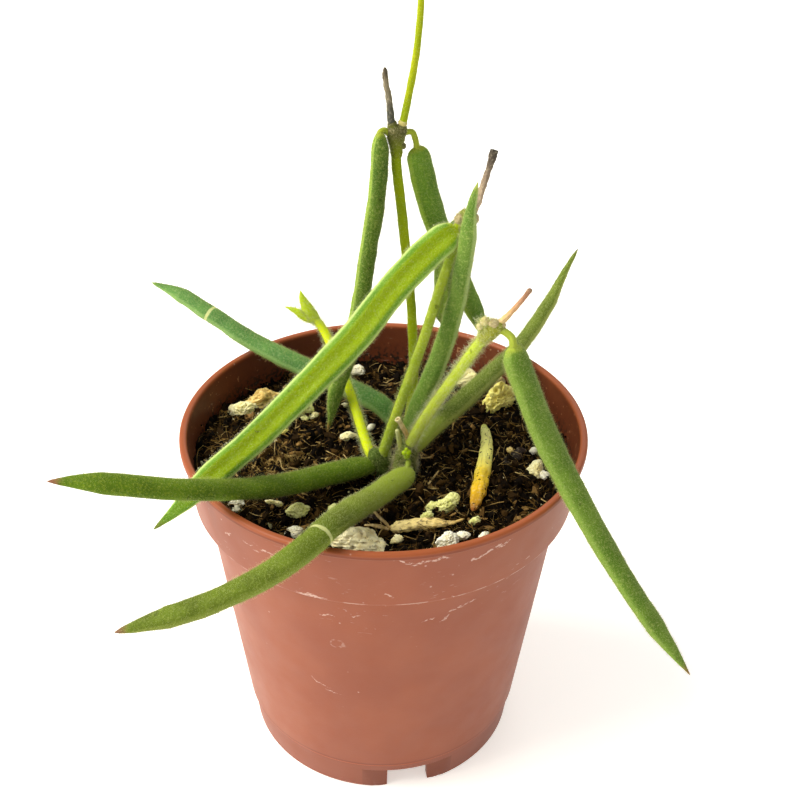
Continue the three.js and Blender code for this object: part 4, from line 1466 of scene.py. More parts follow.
PEBBLES = (
    Grain((18.7, 19.7, 50), (2.6, 2, 1.8), 0.4, Rock.CREAM), Grain((-5.2, 22.6, 50), (1.8, 1.4, 1.2)),
    Grain((3.9, 14.8, 50.4), (1.2, 1, 1)), Grain((-7.2, -13.2, 49.7), (1.3, 1, 0.9), 0.5, Rock.GREEN),
    Grain((-12.2, -19.3, 49.9), (1.9, 1.3, 1.1), 0.8), Grain((-20.9, -13.7, 49.7), (1.6, 1.2, 1), 0.2),
    Grain((10.9, -19.4, 50), (2.0, 1.6, 1.4), 0.4), Grain((13.8, -19.6, 50), (1.5, 1.3, 1.1), 0.9),
    Grain((19.1, 0.7, 49.8), (1.1, 0.9, 0.8), 0, Rock.TAN), Grain((22.7, 0.7, 49.9), (1.2, 0.9, 0.9)),
    Grain((6.9, -12.9, 49.8), (1.9, 1.5, 1.3), 0.7, Rock.GREEN),
    Grain((9.9, -11.3, 49.9), (2.2, 1.7, 1.4), 0.1, Rock.GREEN),
    Grain((6.2, -14.9, 49.8), (2.0, 1.3, 1.1), 0.3, Rock.GREEN),
    Grain((12.9, -16.1, 49.9), (1.6, 1.2, 1.1), 0.3, Rock.GREEN),
    Grain((-15.5, 5.6, 49.8), (1.7, 1.3, 1.1), 0.6, Rock.YELLOW),
    Grain((-12.4, 9.2, 49.9), (1.5, 1.2, 1), 0.2, Rock.GREEN),
    Grain((-14.8, -12.6, 49.8), (1.2, 0.9, 0.8), 0.2, Rock.CREAM),
    Grain((2.2, -20.2, 49.9), (1.3, 1.0, 0.9), 0.2, Rock.CREAM),
    Grain((-5.4, 4.2, 49.9), (2.8, 1.6, 1.3), 0.1, Rock.CREAM),
    Grain((-2.0, 6.5, 49.9), (1.3, 1.0, 0.9), 0.6),
    Grain((16.2, 19.2, 50.1), (2.6, 2.2, 2.0), 0.3, Rock.YELLOW),
    Grain((23.6, -5.6, 50), (1.6, 1.3, 1.1), 0.5), Grain((-20.2, 9.6, 49.8), (2.0, 1.6, 1.3), 0.9),
    Grain((-11.0, 9.9, 49.8), (1.8, 1.4, 1.2), 0.4, Rock.CREAM),
)


def pebbles(finishes: Finishes) -> None:
    """Makes the small loose stones, one piece for each kind."""
    for rock in Rock:
        stones = [(k, grain) for k, grain in enumerate(PEBBLES) if grain.rock is rock]
        if stones:
            shell = joined([grain.shell(300 + k, PEBBLE_GRID) for k, grain in stones])
            place(f"pebbles_{rock.name.lower()}", shell, finishes.of(rock), "perlite")


# ---------------------------------------------------------------------------------------------
# Stems, nodes and stubs
# ---------------------------------------------------------------------------------------------

# A broken end's cup: shares of the limb's length, and radii relative to its lip.
CUP = ((1, 1), (1, 0.72), (0.97, 0.6), (0.9, 0.5), (0.86, 0))


@dataclass(frozen=True)
class Limb:
    """A round limb along a smooth line: a stem, a node's swelling or a dead stub.

    `girth` gives diameters at shares of the length, joined by straight stretches and rounded off
    over `end` of the length at both ends. `hollow` sinks the far end into a cup. `rough` is the
    height of the unevenness, and `grain` its coarseness.
    """

    line: Line
    girth: Girth
    end: float = 0.02
    rings: int = 120
    sides: int = 24
    rough: float = 0.03
    grain: float = 1.0
    hollow: bool = False
    seed: int = 3

    def skin(self) -> tuple[Array, Array]:
        """The limb's rings and their finish values."""
        share = rounded_shares(self.rings)
        radius = np.interp(share, *np.array(self.girth).T) * rounded_ends(share, self.end)
        if self.hollow:
            keep = share < 1 - self.end
            lip = radius[keep][-1]
            cup_share, cup_radius = np.array(CUP).T
            share = np.concatenate([share[keep], cup_share])
            radius = np.concatenate([radius[keep], cup_radius * lip])
        rings, lay = swept(Route(self.line), share, radius, 1, 1, sides=self.sides)
        return roughened(rings, Ripples(self.seed, 3 * self.grain, 0.4 * self.grain), self.rough), lay


def even(start: float, end: float) -> Girth:
    """A girth that changes evenly from start to end."""
    return ((0.0, start), (1.0, end))


def knob(at: Point, to: Point, wide: float, seed: int = 3) -> Limb:
    """A rounded knob between two places."""
    return Limb((at, to), even(wide, wide), 0.48, 40, rough=0.13, grain=0.6, seed=seed)


@dataclass(frozen=True)
class Growth:
    """Limbs that make one piece, with their hairs as a second.

    `node` is the frame's node that the piece stands for, if it stands for one.
    """

    name: str
    tint: object
    slot: str
    limbs: tuple[Limb, ...]
    fuzz: tuple[Fuzz, ...] = ()
    hair: Hair = Hair.PALE
    node: str = ""

    def build(self, finishes: Finishes) -> None:
        """Makes the limbs, and each layer of hairs on them."""
        skins = [limb.skin() for limb in self.limbs]
        shell = joined([closed_rings(*skin) for skin in skins])
        place(self.name, shell, finishes.of(self.tint), self.slot, (self.node,) if self.node else ())
        if self.fuzz:
            hairs = joined([layer.on(rings) for layer in self.fuzz for rings, _ in skins])
            place(f"{self.name}_hairs", hairs, finishes.of(self.hair), self.slot)


SCALE = ((0, 0.3), (0.35, 0.85), (0.75, 0.6), (1, 0.1))
RING_CORK = Dry("ring_cork", ((0.0, "c2b468"), (1.0, "d2c67c")), "988a48")
STEMS = (
    Growth(
        "stem_back_lower_skin", Tint.STEM_YELLOW, "stem", (Limb((
            (3.4, 4.8, 50), (4.4, 5.8, 58.2), (4.2, 6.3, 65.8), (3.8, 6.7, 72.3), (3.2, 7, 77.8),
            (2.1, 7.6, 87.5), (1.5, 7.9, 92.5), (1.42, 8, 96),
        ), even(1.35, 1.4)),), (Fuzz(16.0, 0.3, 0.022),), Hair.LIME, "stem_back_lower",
    ),
    Growth(
        "stem_middle_skin", Tint.STEM, "stem", (Limb((
            (-0.6, -3, 50.2), (2.4, -3.2, 61.1), (5.2, -3.2, 70.6), (7.3, -3.1, 78.8), (8.8, -3, 84.3),
            (10.3, -2.8, 88.9),
        ), even(1.5, 1.3)),), (Fuzz(26.0, 0.4, 0.022), Fuzz(9.0, 0.75, 0.022, seed=2)), Hair.PALE,
        "stem_middle",
    ),
    Growth(
        "stem_right_skin", Tint.STEM_LIME, "stem", (Limb((
            (3.2, -4.5, 53.6), (6.7, -7, 62.6), (9.9, -10.1, 70.5), (11.7, -12.2, 75.2),
            (13.7, -13.8, 79.5),
        ), even(1.5, 1.35)),), (Fuzz(40.0, 0.5, 0.022, 0.5), Fuzz(18.0, 1.0, 0.021, 0.4, 2)), Hair.LIME,
        "stem_right",
    ),
    Growth(
        "young_shoot_skin", Tint.SHOOT, "young_growth", (Limb((
            (-0.9, -3, 49.6), (-2, -2.2, 51.3), (-4, 1.8, 55.6), (-5.2, 4.6, 58), (-8.1, 10, 62.6),
            (-9.5, 11.5, 64.9), (-10.6, 12, 66.1),
        ), even(1.45, 1.25)),), (Fuzz(44.0, 0.8, 0.024),), Hair.LIME, "young_shoot",
    ),
    Growth(
        "stem_back_upper_skin", Tint.STEM_GOLD, "stem", (Limb((
            (2, 8, 97.2), (2.4, 8, 98.8), (2.9, 8.1, 101.5), (3.8, 8.3, 106.8), (4.2, 8.4, 110.7),
            (4.4, 8.5, 114.4), (4.3, 8.6, 118.6), (4.15, 8.7, 121.4),
        ), ((0, 1.05), (0.78, 0.85), (0.86, 1.15), (0.93, 1.05), (1, 0.35))),),
        (Fuzz(14.0, 0.25, 0.02),), Hair.LIME, "stem_back_upper",
    ),
    Growth(
        "tip_scales", Tint.BUD, "young_growth", (
            Limb(((4.3, 8.6, 117.6), (3.75, 8.5, 119.4), (4.0, 8.7, 121.9)), SCALE, rings=40, sides=16),
            Limb(((4.3, 8.6, 117.4), (4.95, 8.8, 119), (4.5, 8.7, 121.2)), SCALE, rings=40, sides=16),
        ), (Fuzz(18.0, 0.5, 0.03),), Hair.LIME,
    ),
    Growth("stem_ring", RING_CORK, "node", (Limb(
        ((2.2, 8.0, 98.05), (2.38, 8.02, 98.8)), ((0, 1.0), (0.4, 1.3), (0.6, 1.3), (1, 1.0)), rings=30),)),
)

NODE_FUZZ = (Fuzz(26.0, 0.6, 0.028, 0.6),)
NODES = (
    Growth(
        "node_top_skin", Tint.NODE_DARK, "node", (
            Limb(((1.46, 7.93, 93.2), (1.45, 8, 95), (1.46, 8, 96.8), (1.5, 8, 98.1)),
                 ((0, 1.4), (0.3, 1.65), (0.6, 2.4), (0.85, 2.85), (1, 2.5)), 0.12, 80, rough=0.09,
                 grain=0.6),
            Limb(((1.2, 8, 97.1), (0.75, 8, 98.7)), even(1.7, 1.15), 0.2, 30, rough=0.08, grain=0.5),
            Limb(((1.9, 8, 96.8), (2.1, 8, 97.6), (2.25, 8, 98.3)), even(1.8, 1.3), 0.2, 30, rough=0.06,
                 grain=0.5),
            knob((1.8, 7.7, 95.2), (2.75, 7.45, 95.5), 0.95),
        ), (Fuzz(16.0, 0.22, 0.03),), Hair.GOLDEN, "node_top",
    ),
    Growth(
        "node_middle_skin", Tint.NODE, "node", (
            Limb(((9.95, -2.87, 87.4), (10.4, -2.72, 89), (10.9, -2.55, 90.7)),
                 ((0, 1.35), (0.4, 2.2), (0.72, 2.3), (1, 1.5)), 0.12, 60, rough=0.08, grain=0.6),
            Limb(((10.9, -2.6, 89.9), (11.7, -2.4, 91.3)), even(1.5, 1.25), 0.2, 30, rough=0.06, grain=0.5),
        ), NODE_FUZZ, Hair.GOLDEN, "node_middle",
    ),
    Growth(
        "node_right_skin", Tint.NODE_OLIVE, "node", (
            Limb(((12.3, -12.9, 77), (13.2, -13.4, 78.4), (13.9, -13.8, 79.9)),
                 ((0, 1.4), (0.4, 1.9), (0.8, 2.4), (1, 1.9)), 0.16, 60, rough=0.16, grain=0.8),
            Limb(((13.2, -13.3, 78.9), (14.2, -13.8, 79.6), (15.1, -14.1, 79.4)),
                 ((0, 1.7), (0.5, 2.1), (1, 1.2)), 0.2, 40, rough=0.12, grain=0.7),
        ), NODE_FUZZ, Hair.LIME, "node_right",
    ),
    Growth(
        "node_middle_knobs", Tint.KNOB, "node", (
            knob((10.3, -2.9, 89.2), (9.1, -3.05, 89.9), 1.5),
            knob((10.9, -2.7, 89.1), (12.2, -2.4, 89.7), 1.5),
        ), NODE_FUZZ, Hair.GOLDEN,
    ),
    Growth(
        "node_right_cream", Tint.KNOB_CREAM, "node", (
            knob((13.2, -13.6, 79.8), (12.4, -13.6, 80.7), 1.3),
            knob((12.6, -13.7, 79.5), (11.7, -13.9, 79.8), 0.85, 5),
        ), (Fuzz(34.0, 0.6, 0.03, 0.6), Fuzz(14.0, 1.5, 0.03, 0.5, 2)), Hair.LIME,
    ),
    Growth(
        "node_right_knob", Tint.KNOB, "node", (
            knob((13.9, -13.9, 79.8), (14.0, -14.1, 80.7), 1.45, 7),
            knob((14.9, -13.9, 79.6), (15.3, -14.0, 80.2), 0.9, 8),
        ), (Fuzz(24.0, 0.45, 0.028),), Hair.GOLDEN,
    ),
)

CROWN_GROUND = 48.0
CROWN = (
    Growth(
        "crown_knots", Tint.CROWN, "crown", (
            Limb(((2.4, -3.4, 44.5), (3, -4.2, 50), (3.5, -4.7, 55.6)),
                 ((0, 3.0), (0.45, 3.7), (0.75, 3.1), (0.92, 2.2), (1, 1.7)), 0.08, rough=0.16),
            Limb(((2.4, 2.2, 44.5), (3, 4, 50), (3.4, 5, 53)),
                 ((0, 2.8), (0.5, 3.4), (0.8, 2.8), (1, 1.8)), 0.1, rough=0.16, seed=5),
            Limb(((1.2, -6, 46), (1.8, 0, 46.6), (2.6, 6, 46)), ((0, 3), (0.5, 6), (1, 3)), 0.2, rough=0.2,
                 seed=6),
        ), (
            Fuzz(24.0, 0.5, 0.026, 0.5, ground=CROWN_GROUND),
            Fuzz(12.0, 1.0, 0.026, 0.5, 2, ground=CROWN_GROUND),
        ), Hair.GOLDEN, "crown",
    ),
    Growth(
        "crown_left_knot", Tint.CROWN_DARK, "crown", (
            Limb(((0.6, -2.4, 44.5), (-0.6, -2.9, 49.5), (-1.3, -3.2, 52.6)),
                 ((0, 3.0), (0.5, 3.8), (0.8, 3.0), (1, 1.9)), 0.1, rough=0.14, seed=4),
        ), (Fuzz(20.0, 0.5, 0.026, ground=CROWN_GROUND),),
    ),
    Growth(
        "petiole_bud_skin", Tint.BUD, "young_growth", (
            Limb(((3.2, -4.8, 52.8), (3.4, -6.1, 53.6), (3.4, -6.8, 54.5)),
                 ((0, 1.2), (0.6, 0.85), (1, 0.8)), 0.25, 40, rough=0.03),
            knob((3.3, -6.3, 54.0), (2.85, -6.7, 54.8), 0.85),
            knob((3.4, -6.5, 54.3), (3.75, -6.8, 55.1), 0.75),
            knob((3.35, -6.5, 54.5), (3.3, -6.7, 55.5), 0.6),
        ), (Fuzz(14.0, 0.3, 0.03),), Hair.LIME, "petiole_bud",
    ),
)

GREY_STUB = Dry(
    "stub_grey", ((0.0, "464a3e"), (0.3, "56564a"), (0.5, "7e7660"), (0.8, "887c62"), (1.0, "453c30")),
    "2a241c", 0.5, 3.0)
PINK_STUB = Dry(
    "stub_pink", ((0.0, "cdb496"), (0.35, "b09a7e"), (0.6, "8a7864"), (0.82, "5e5448"), (1.0, "3f382e")),
    "33241c", 0.5, 3.0)
TAN_STUB = Dry(
    "stub_tan", ((0.0, "dcc488"), (0.35, "d0a674"), (0.7, "b18262"), (1.0, "80604a")), "60402c", 0.35, 3.0)
STRAW_STUB = Dry(
    "stub_straw", ((0.0, "b08a4c"), (0.5, "cca870"), (1.0, "e8dca8")), "7c5a2c", 0.6, 2.0, 0.3)
CREAM_STUB = Dry("stub_cream", ((0.0, "a8b048"), (0.5, "c8ce78"), (1.0, "e0e2a0")), "8c8c40", 0.5, 2.0, 0.2)
STUBS = tuple(Growth(f"{name}_bark", finish, "dead_stub", (limb,), node=name) for name, finish, limb in (
    ("stub_top", GREY_STUB, Limb(
        ((1.0, 8, 97.4), (0.72, 8, 98.6), (0.6, 8, 99.8), (0.4, 8, 101.8), (0, 8, 103.8), (-0.15, 8, 106)),
        ((0, 1.2), (0.2, 1.0), (0.5, 0.82), (0.78, 0.75), (0.9, 0.8), (0.96, 0.5), (1, 0.1)),
        0.03, rough=0.05, grain=0.5)),
    ("stub_middle", PINK_STUB, Limb(
        ((11.3, -2.6, 90.4), (11.92, -2.4, 91.5), (12.4, -1.9, 93), (13, -1.3, 94.6), (13.5, -1, 96.4),
         (13.9, -0.7, 98.1)),
        ((0, 1.15), (0.3, 0.98), (0.7, 0.82), (0.88, 1.05), (1, 1.2)), 0.03, rough=0.06, grain=0.6,
        hollow=True)),
    ("stub_right", TAN_STUB, Limb(
        ((14.5, -13.7, 80), (15.4, -13.6, 80.9), (16.8, -13.3, 82.5), (18.4, -13, 84.7)),
        ((0, 1.0), (0.4, 0.75), (0.85, 0.6), (0.95, 0.7), (1, 0.5)), 0.03, rough=0.04, grain=0.5)),
    ("stub_crown_tall", STRAW_STUB, Limb(
        ((3.6, -4.8, 54.8), (3.4, -4.95, 56.4), (2.7, -5.15, 58.1), (1.95, -5.3, 59.6)),
        ((0, 0.85), (0.5, 0.7), (0.85, 0.72), (1, 0.9)), 0.03, rough=0.05, grain=0.5, hollow=True)),
    ("stub_crown_short", CREAM_STUB, Limb(
        ((2.6, -4.8, 53.6), (2.26, -5, 55.5), (1.9, -5.4, 57.8)),
        ((0, 0.75), (0.7, 0.62), (1, 0.55)), 0.05, rough=0.03, grain=0.5)),
))


# ---------------------------------------------------------------------------------------------
# Leaves
# ---------------------------------------------------------------------------------------------

@dataclass(frozen=True)
class Leaf:
    """A leaf: a blade with a channel on its under side and, on most, a short petiole.

    The blade fills out over its first part `blunt`, thins by `narrow` of its width over the last
    two thirds, and is drawn out to a point over `point`. `top` is where its upper side looks,
    `channel` the depth of its channel as a share of half the thickness, `wave` the height of its
    unevenness, and `stalk` the petiole's diameter.
    """

    name: str
    tint: object
    slot: str
    line: Line
    width: float
    thickness: float
    top: Point = (0, 0, 1)
    blunt: float = 0.06
    narrow: float = 0.25
    point: float = 0.18
    petiole: Line = ()
    stalk: float = 0.9
    channel: float = 0.45
    rings: int = 190
    sides: int = 44
    wave: float = 0.07
    fuzz: Fuzz = Fuzz(32.0, 0.4, 0.024, stops=2)
    hair: Hair = Hair.PALE

    def blade(self) -> tuple[Array, Array]:
        """The blade's rings and their finish values."""
        share = rounded_shares(self.rings)
        base = np.minimum(1, share / self.blunt)
        thinning = 1 - self.narrow * np.maximum(0, (share - 0.35) / 0.65)
        tip = np.minimum(1, (1 - share) / self.point) ** 0.7
        radius = np.sqrt(base * (2 - base)) * thinning * tip
        rings, lay = swept(
            Route(self.line), share, radius, self.width, self.thickness, self.top, self.sides, self.channel)
        return roughened(rings, Ripples(seed_of(self.name), 9, 1.5), self.wave), lay

    def build(self, finishes: Finishes) -> None:
        """Makes the blade with its petiole, and the hairs on both."""
        skins = [self.blade()]
        if self.petiole:
            girth = ((0.0, self.stalk), (0.6, self.stalk), (1.0, 1.2 * self.stalk))
            rings, lay = Limb(self.petiole, girth, 0.1, 60, 18).skin()
            skins.append((rings, lay - [2, 0, 0]))
        shell = joined([closed_rings(*skin) for skin in skins])
        place(f"{self.name}_blade", shell, finishes.of(self.tint), self.slot, (self.name,))
        fuzz = replace(self.fuzz, seed=seed_of(self.name))
        hairs = joined([fuzz.on(rings) for rings, _ in skins])
        place(f"{self.name}_hairs", hairs, finishes.of(self.hair), self.slot)


FALLEN = Dry(
    "leaf_fallen", ((0.0, "c4ce58"), (0.08, "f8f898"), (0.45, "faf480"), (0.6, "f0d23a"), (0.82, "e6b61c"),
                    (1.0, "8a5420")),
    "5a4212", 0.25, 3.0, 1.0)
HUSK = Dry("husk_dry", ((0.0, "f0dc92"), (0.5, "e8d084"), (1.0, "c6a25c")), "4a3010", 0.9, 3.5, 0.6)
STRAND = Dry("strand_pale", ((0.0, "cdb47c"), (1.0, "b2925a")), "7a5c30", 0.5, 2.0, 0.3)
BARK = Dry("bark_dark", ((0.0, "1c130c"), (1.0, "2a1c12")), "0c0705", 0.5, 2.0, 0.2)


@dataclass(frozen=True)
class Litter:
    """Something dry that lies on the soil: a flattened, crumpled limb.

    `girth` gives widths at shares of the length, rounded off over `end` of it. `flat` is the height
    as a share of the width, and `hollow` the under side's channel as a share of half the height.
    `crumple` is the height of the dents and `grain` their length.
    """

    name: str
    finish: Dry
    slot: str
    line: Line
    girth: Girth
    flat: float = 0.75
    crumple: float = 0.15
    grain: float = 1.6
    top: Point = (0, 0.1, 1)
    standing_for: str = ""
    rings: int = 160
    sides: int = 48
    end: float = 0.05
    hollow: float = 0.3

    def build(self, finishes: Finishes) -> None:
        """Makes the piece, dented by a coarse and a fine unevenness."""
        share = rounded_shares(self.rings)
        radius = np.interp(share, *np.array(self.girth).T) * rounded_ends(share, self.end)
        rings, lay = swept(
            Route(self.line), share, radius, 1, self.flat, self.top, self.sides, self.hollow)
        seed = seed_of(self.name)
        rings = roughened(rings, Ripples(seed, self.grain, self.grain / 4), self.crumple)
        rings = roughened(rings, Ripples(seed + 1, 0.5, 0.2, 50), 0.1 * self.crumple)
        nodes = (self.standing_for,) if self.standing_for else ()
        place(self.name, closed_rings(rings, lay), finishes.of(self.finish), self.slot, nodes)


LITTER = (
    Litter(
        "fallen_leaf_blade", FALLEN, "fallen_leaf", (
            (15.5, 6.8, 50.4), (15.6, 1.7, 50.4), (14.8, -4.0, 50.3), (13.6, -10.1, 50.1), (12.6, -14, 49.9),
        ),
        ((0, 0.9), (0.1, 1.5), (0.3, 1.95), (0.6, 2.3), (0.8, 2.3), (0.93, 1.5), (1, 0.7)),
        0.75, 0.07, 2.4, standing_for="fallen_leaf",
    ),
    Litter(
        "husk_body", HUSK, "husk", (
            (0.9, -18.0, 49.9), (2.6, -17.7, 50.1), (5.0, -17.2, 50.1), (7.3, -17, 50.1), (9.5, -17, 50.2),
            (11.3, -16.1, 50.2),
        ),
        ((0, 1.1), (0.1, 1.9), (0.35, 2.0), (0.6, 1.7), (0.75, 0.9), (1, 0.35)),
        0.75, 0.12, 2.4, standing_for="dried_husk",
    ),
    Litter(
        "twig_front_bark", BARK, "bark", ((-3.6, -13.4, 49.6), (-1.6, -15, 49.8), (0.2, -15.8, 49.7)),
        ((0, 0.6), (0.5, 0.9), (1, 0.5)), 0.9, 0.1, standing_for="twig_front", rings=100, sides=32,
    ),
    Litter(
        "bark_scrap_chip", BARK, "bark", ((17.9, -2.6, 49.5), (19.6, -1, 49.7), (21, 1.6, 49.6)),
        ((0, 1.2), (0.4, 2.2), (1, 1.3)), 0.5, 0.2, standing_for="bark_scrap", rings=100, sides=32,
    ),
    Litter(
        "husk_strand", STRAND, "husk", ((-1.4, -14, 49.9), (-0.6, -15.7, 50.2), (1.1, -18.2, 50.1)),
        ((0, 0.35), (0.5, 0.5), (1, 0.45)), 0.8, 0.06, 0.8, rings=80, sides=24,
    ),
    Litter(
        "husk_strand_end", STRAND, "husk", ((-2.6, -17.2, 49.9), (-1.0, -17.6, 50.1), (0.9, -18.3, 50)),
        ((0, 0.3), (0.6, 0.7), (1, 0.5)), 0.8, 0.08, 0.8, rings=80, sides=24,
    ),
    Litter(
        "twig_pale", STRAND, "bark", ((6.5, -8.0, 50.0), (7.3, -6.5, 50.1), (8.2, -4.9, 50.3)),
        ((0, 0.25), (0.7, 0.3), (1, 0.15)), 0.9, 0.03, 0.8, rings=80, sides=24,
    ),
)

LEAVES = (
    Leaf(
        "leaf_top_left", Tint.VELVET, "leaf_velvet", (
            (-0.78, 6.9, 97.6), (-0.82, 6.7, 94.6), (-1.3, 6.1, 88.1), (-2.4, 5.4, 80.9), (-3.5, 4.6, 73.3),
            (-5.4, 3.4, 64.7), (-7.2, 2.4, 59.4), (-8.4, 1.2, 53.1),
        ),
        3.0, 2.6, (0.97, 0.2, 0.1), 0.07, 0.06, 0.14, stalk=0.85,
        petiole=((0.9, 8, 96.6), (0.3, 7.7, 97.2), (-0.3, 7.3, 97.6), (-0.7, 7.0, 97.4), (-0.8, 6.85, 96.6)),
    ),
    Leaf(
        "leaf_top_right", Tint.TOP_RIGHT, "leaf_bluish", (
            (4.2, 8.6, 94.9), (4.4, 8.7, 93.9), (6.1, 9.3, 86.8), (8.5, 10.2, 79.7), (10.9, 11, 74),
            (13.7, 12.2, 67.3), (15.9, 13.6, 61.4),
        ),
        3.5, 2.8, (0.3, -0.8, 0.5), narrow=0.25, stalk=0.8,
        petiole=((1.9, 8, 96.9), (2.74, 7.9, 97.2), (3.55, 8.1, 97.1), (4.1, 8.4, 95.7), (4.35, 8.6, 93.8)),
    ),
    Leaf(
        "leaf_long_left", Tint.LIGHT, "leaf_light", (
            (9.4, -3.6, 88.5), (8.2, -4.2, 87.8), (5.9, -5.2, 86.1), (2, -7, 82.5), (-4.4, -9.6, 74.9),
            (-10.8, -12.2, 68.7), (-17.4, -14.8, 62.6), (-23.5, -17.2, 57.8), (-27.6, -19.2, 54.3),
            (-31, -20.5, 51.6),
        ),
        4.2, 2.8, (-0.03, 0.86, -0.5), 0.05, 0.2, channel=0.4, stalk=0.95,
        fuzz=Fuzz(30.0, 0.42, 0.021, stops=2), hair=Hair.LIME,
        petiole=((10.2, -2.8, 89), (9.5, -3.3, 88.7), (7.8, -4.3, 87.3)),
    ),
    Leaf(
        "leaf_small_hanging", Tint.VELVET, "leaf_velvet",
        ((10.1, -2.1, 88.8), (9, -0.4, 85.3), (8.1, 1.2, 80.3), (8.2, 3, 75.1), (8.6, 6, 68.4)),
        2.6, 1.9, (0, 0.9, 0.3), narrow=0.1, point=0.13,
    ),
    Leaf(
        "leaf_right_hanging", Tint.MIDDLE, "leaf_velvet", (
            (16.2, -15, 77.6), (16.7, -15.2, 76), (19.1, -16.2, 70.1), (22.3, -17.6, 63.1),
            (26, -20, 56.7), (30, -22.8, 50.4), (34.5, -25.6, 44), (39.7, -28, 37), (42.4, -29.4, 33.6),
        ),
        3.9, 3.0, (0.6, -0.6, 0.5), blunt=0.045, narrow=0.36, point=0.16, stalk=1.0,
        petiole=(
            (14, -13.8, 79.4), (15.34, -14.2, 79.1), (16.2, -14.6, 78.45), (16.4, -15, 77.6),
            (16.7, -15.2, 75.8),
        ),
    ),
    Leaf(
        "leaf_left_over_rim", Tint.DARK, "leaf_velvet", (
            (-0.9, -2.8, 49.9), (-2.2, -3.8, 50.3), (-4.9, -5.9, 51.1), (-8.4, -8.6, 52),
            (-11.7, -11.6, 53.1), (-18, -17.4, 56.3), (-23.8, -22.4, 59.9), (-29.6, -25, 62.2),
            (-35.5, -26.2, 63.8), (-41.9, -26.8, 64.5),
        ),
        3.6, 2.7, (0, -0.2, 1), 0.1, 0.16, 0.13, fuzz=Fuzz(24.0, 0.4, 0.019, stops=2),
    ),
    Leaf(
        "leaf_front_over_rim", Tint.OLIVE, "leaf_olive", (
            (4.2, -6.9, 51.7), (2.4, -9, 51.6), (-1.2, -14.4, 52.7), (-4.5, -21.2, 55.4),
            (-7.4, -27.6, 57.5), (-9, -30.6, 57.8), (-11, -31.9, 56.8), (-16.5, -34, 54),
            (-22.8, -35.2, 51.4), (-29.1, -35.8, 49.3), (-33.7, -36.1, 47.8),
        ),
        3.6, 2.8, (0, -0.3, 1), narrow=0.2, point=0.13, stalk=0.75,
        petiole=((3, -4.4, 52.6), (3.6, -6.2, 52.6), (3, -7.8, 51.6)),
    ),
    Leaf(
        "leaf_back_left", Tint.BLUISH, "leaf_bluish", (
            (2.6, 4.6, 51), (0, 7.2, 53.2), (-2.3, 8.6, 54), (-8.4, 11.8, 55.3), (-16.5, 15.8, 57.2),
            (-21.4, 18.6, 58.4), (-29.8, 24, 61.3), (-34.2, 27, 62.4), (-38.4, 29.5, 62.8),
        ),
        3.4, 2.6, (0, -0.2, 1), 0.1, 0.24, 0.13,
    ),
    Leaf(
        "leaf_back_right", Tint.OLIVE_BACK, "leaf_olive", (
            (3.6, -3.8, 52), (5.3, -2.4, 53.6), (7, -0.8, 54.8), (11.5, 4.6, 55.8), (16.4, 11, 56.8),
            (22.1, 18.8, 58.1), (27.2, 27, 61.2), (29.9, 31.8, 63.9), (32.6, 36.2, 66.4),
        ),
        3.0, 2.4, (-0.3, -0.3, 1), 0.14, 0.38, 0.22, fuzz=Fuzz(34.0, 0.55, 0.024, stops=2),
    ),
    Leaf(
        "leaf_upright", Tint.UPRIGHT, "leaf_bluish", (
            (3.2, 3.4, 50.8), (4, 2.5, 53.6), (5.5, 1.7, 58.2), (8.2, -0.3, 68), (9.8, -3, 77.6),
            (10.5, -5.7, 86.4), (10.8, -7.6, 93), (11.3, -9.5, 97.5),
        ),
        2.8, 2.4, (0.5, 0.8, 0), 0.16, 0.24, 0.2, channel=0.1,
    ),
    Leaf(
        "young_leaf_upper", Tint.YOUNG, "young_growth",
        ((-9.9, 11.6, 65.4), (-11.4, 12.3, 67.2), (-12.3, 12.9, 68.8), (-12.7, 13.2, 70.3)),
        1.9, 1.2, (0, -1, 0.4), 0.35, 0.25, 0.45, rings=60, sides=28, wave=0.1,
        fuzz=Fuzz(60.0, 0.8, 0.024), hair=Hair.LIME,
    ),
    Leaf(
        "young_leaf_lower", Tint.YOUNG, "young_growth", (
            (-10.4, 11.8, 65.6), (-11.3, 12, 66), (-12.3, 12.2, 66.5), (-13.5, 12.3, 67.3),
            (-15.1, 12.2, 68),
        ),
        1.4, 1.0, (0, -0.4, 1), 0.3, 0.25, 0.5, rings=60, sides=28, wave=0.08,
        fuzz=Fuzz(60.0, 0.8, 0.024), hair=Hair.LIME,
    ),
)


# ---------------------------------------------------------------------------------------------
# Studio
# ---------------------------------------------------------------------------------------------

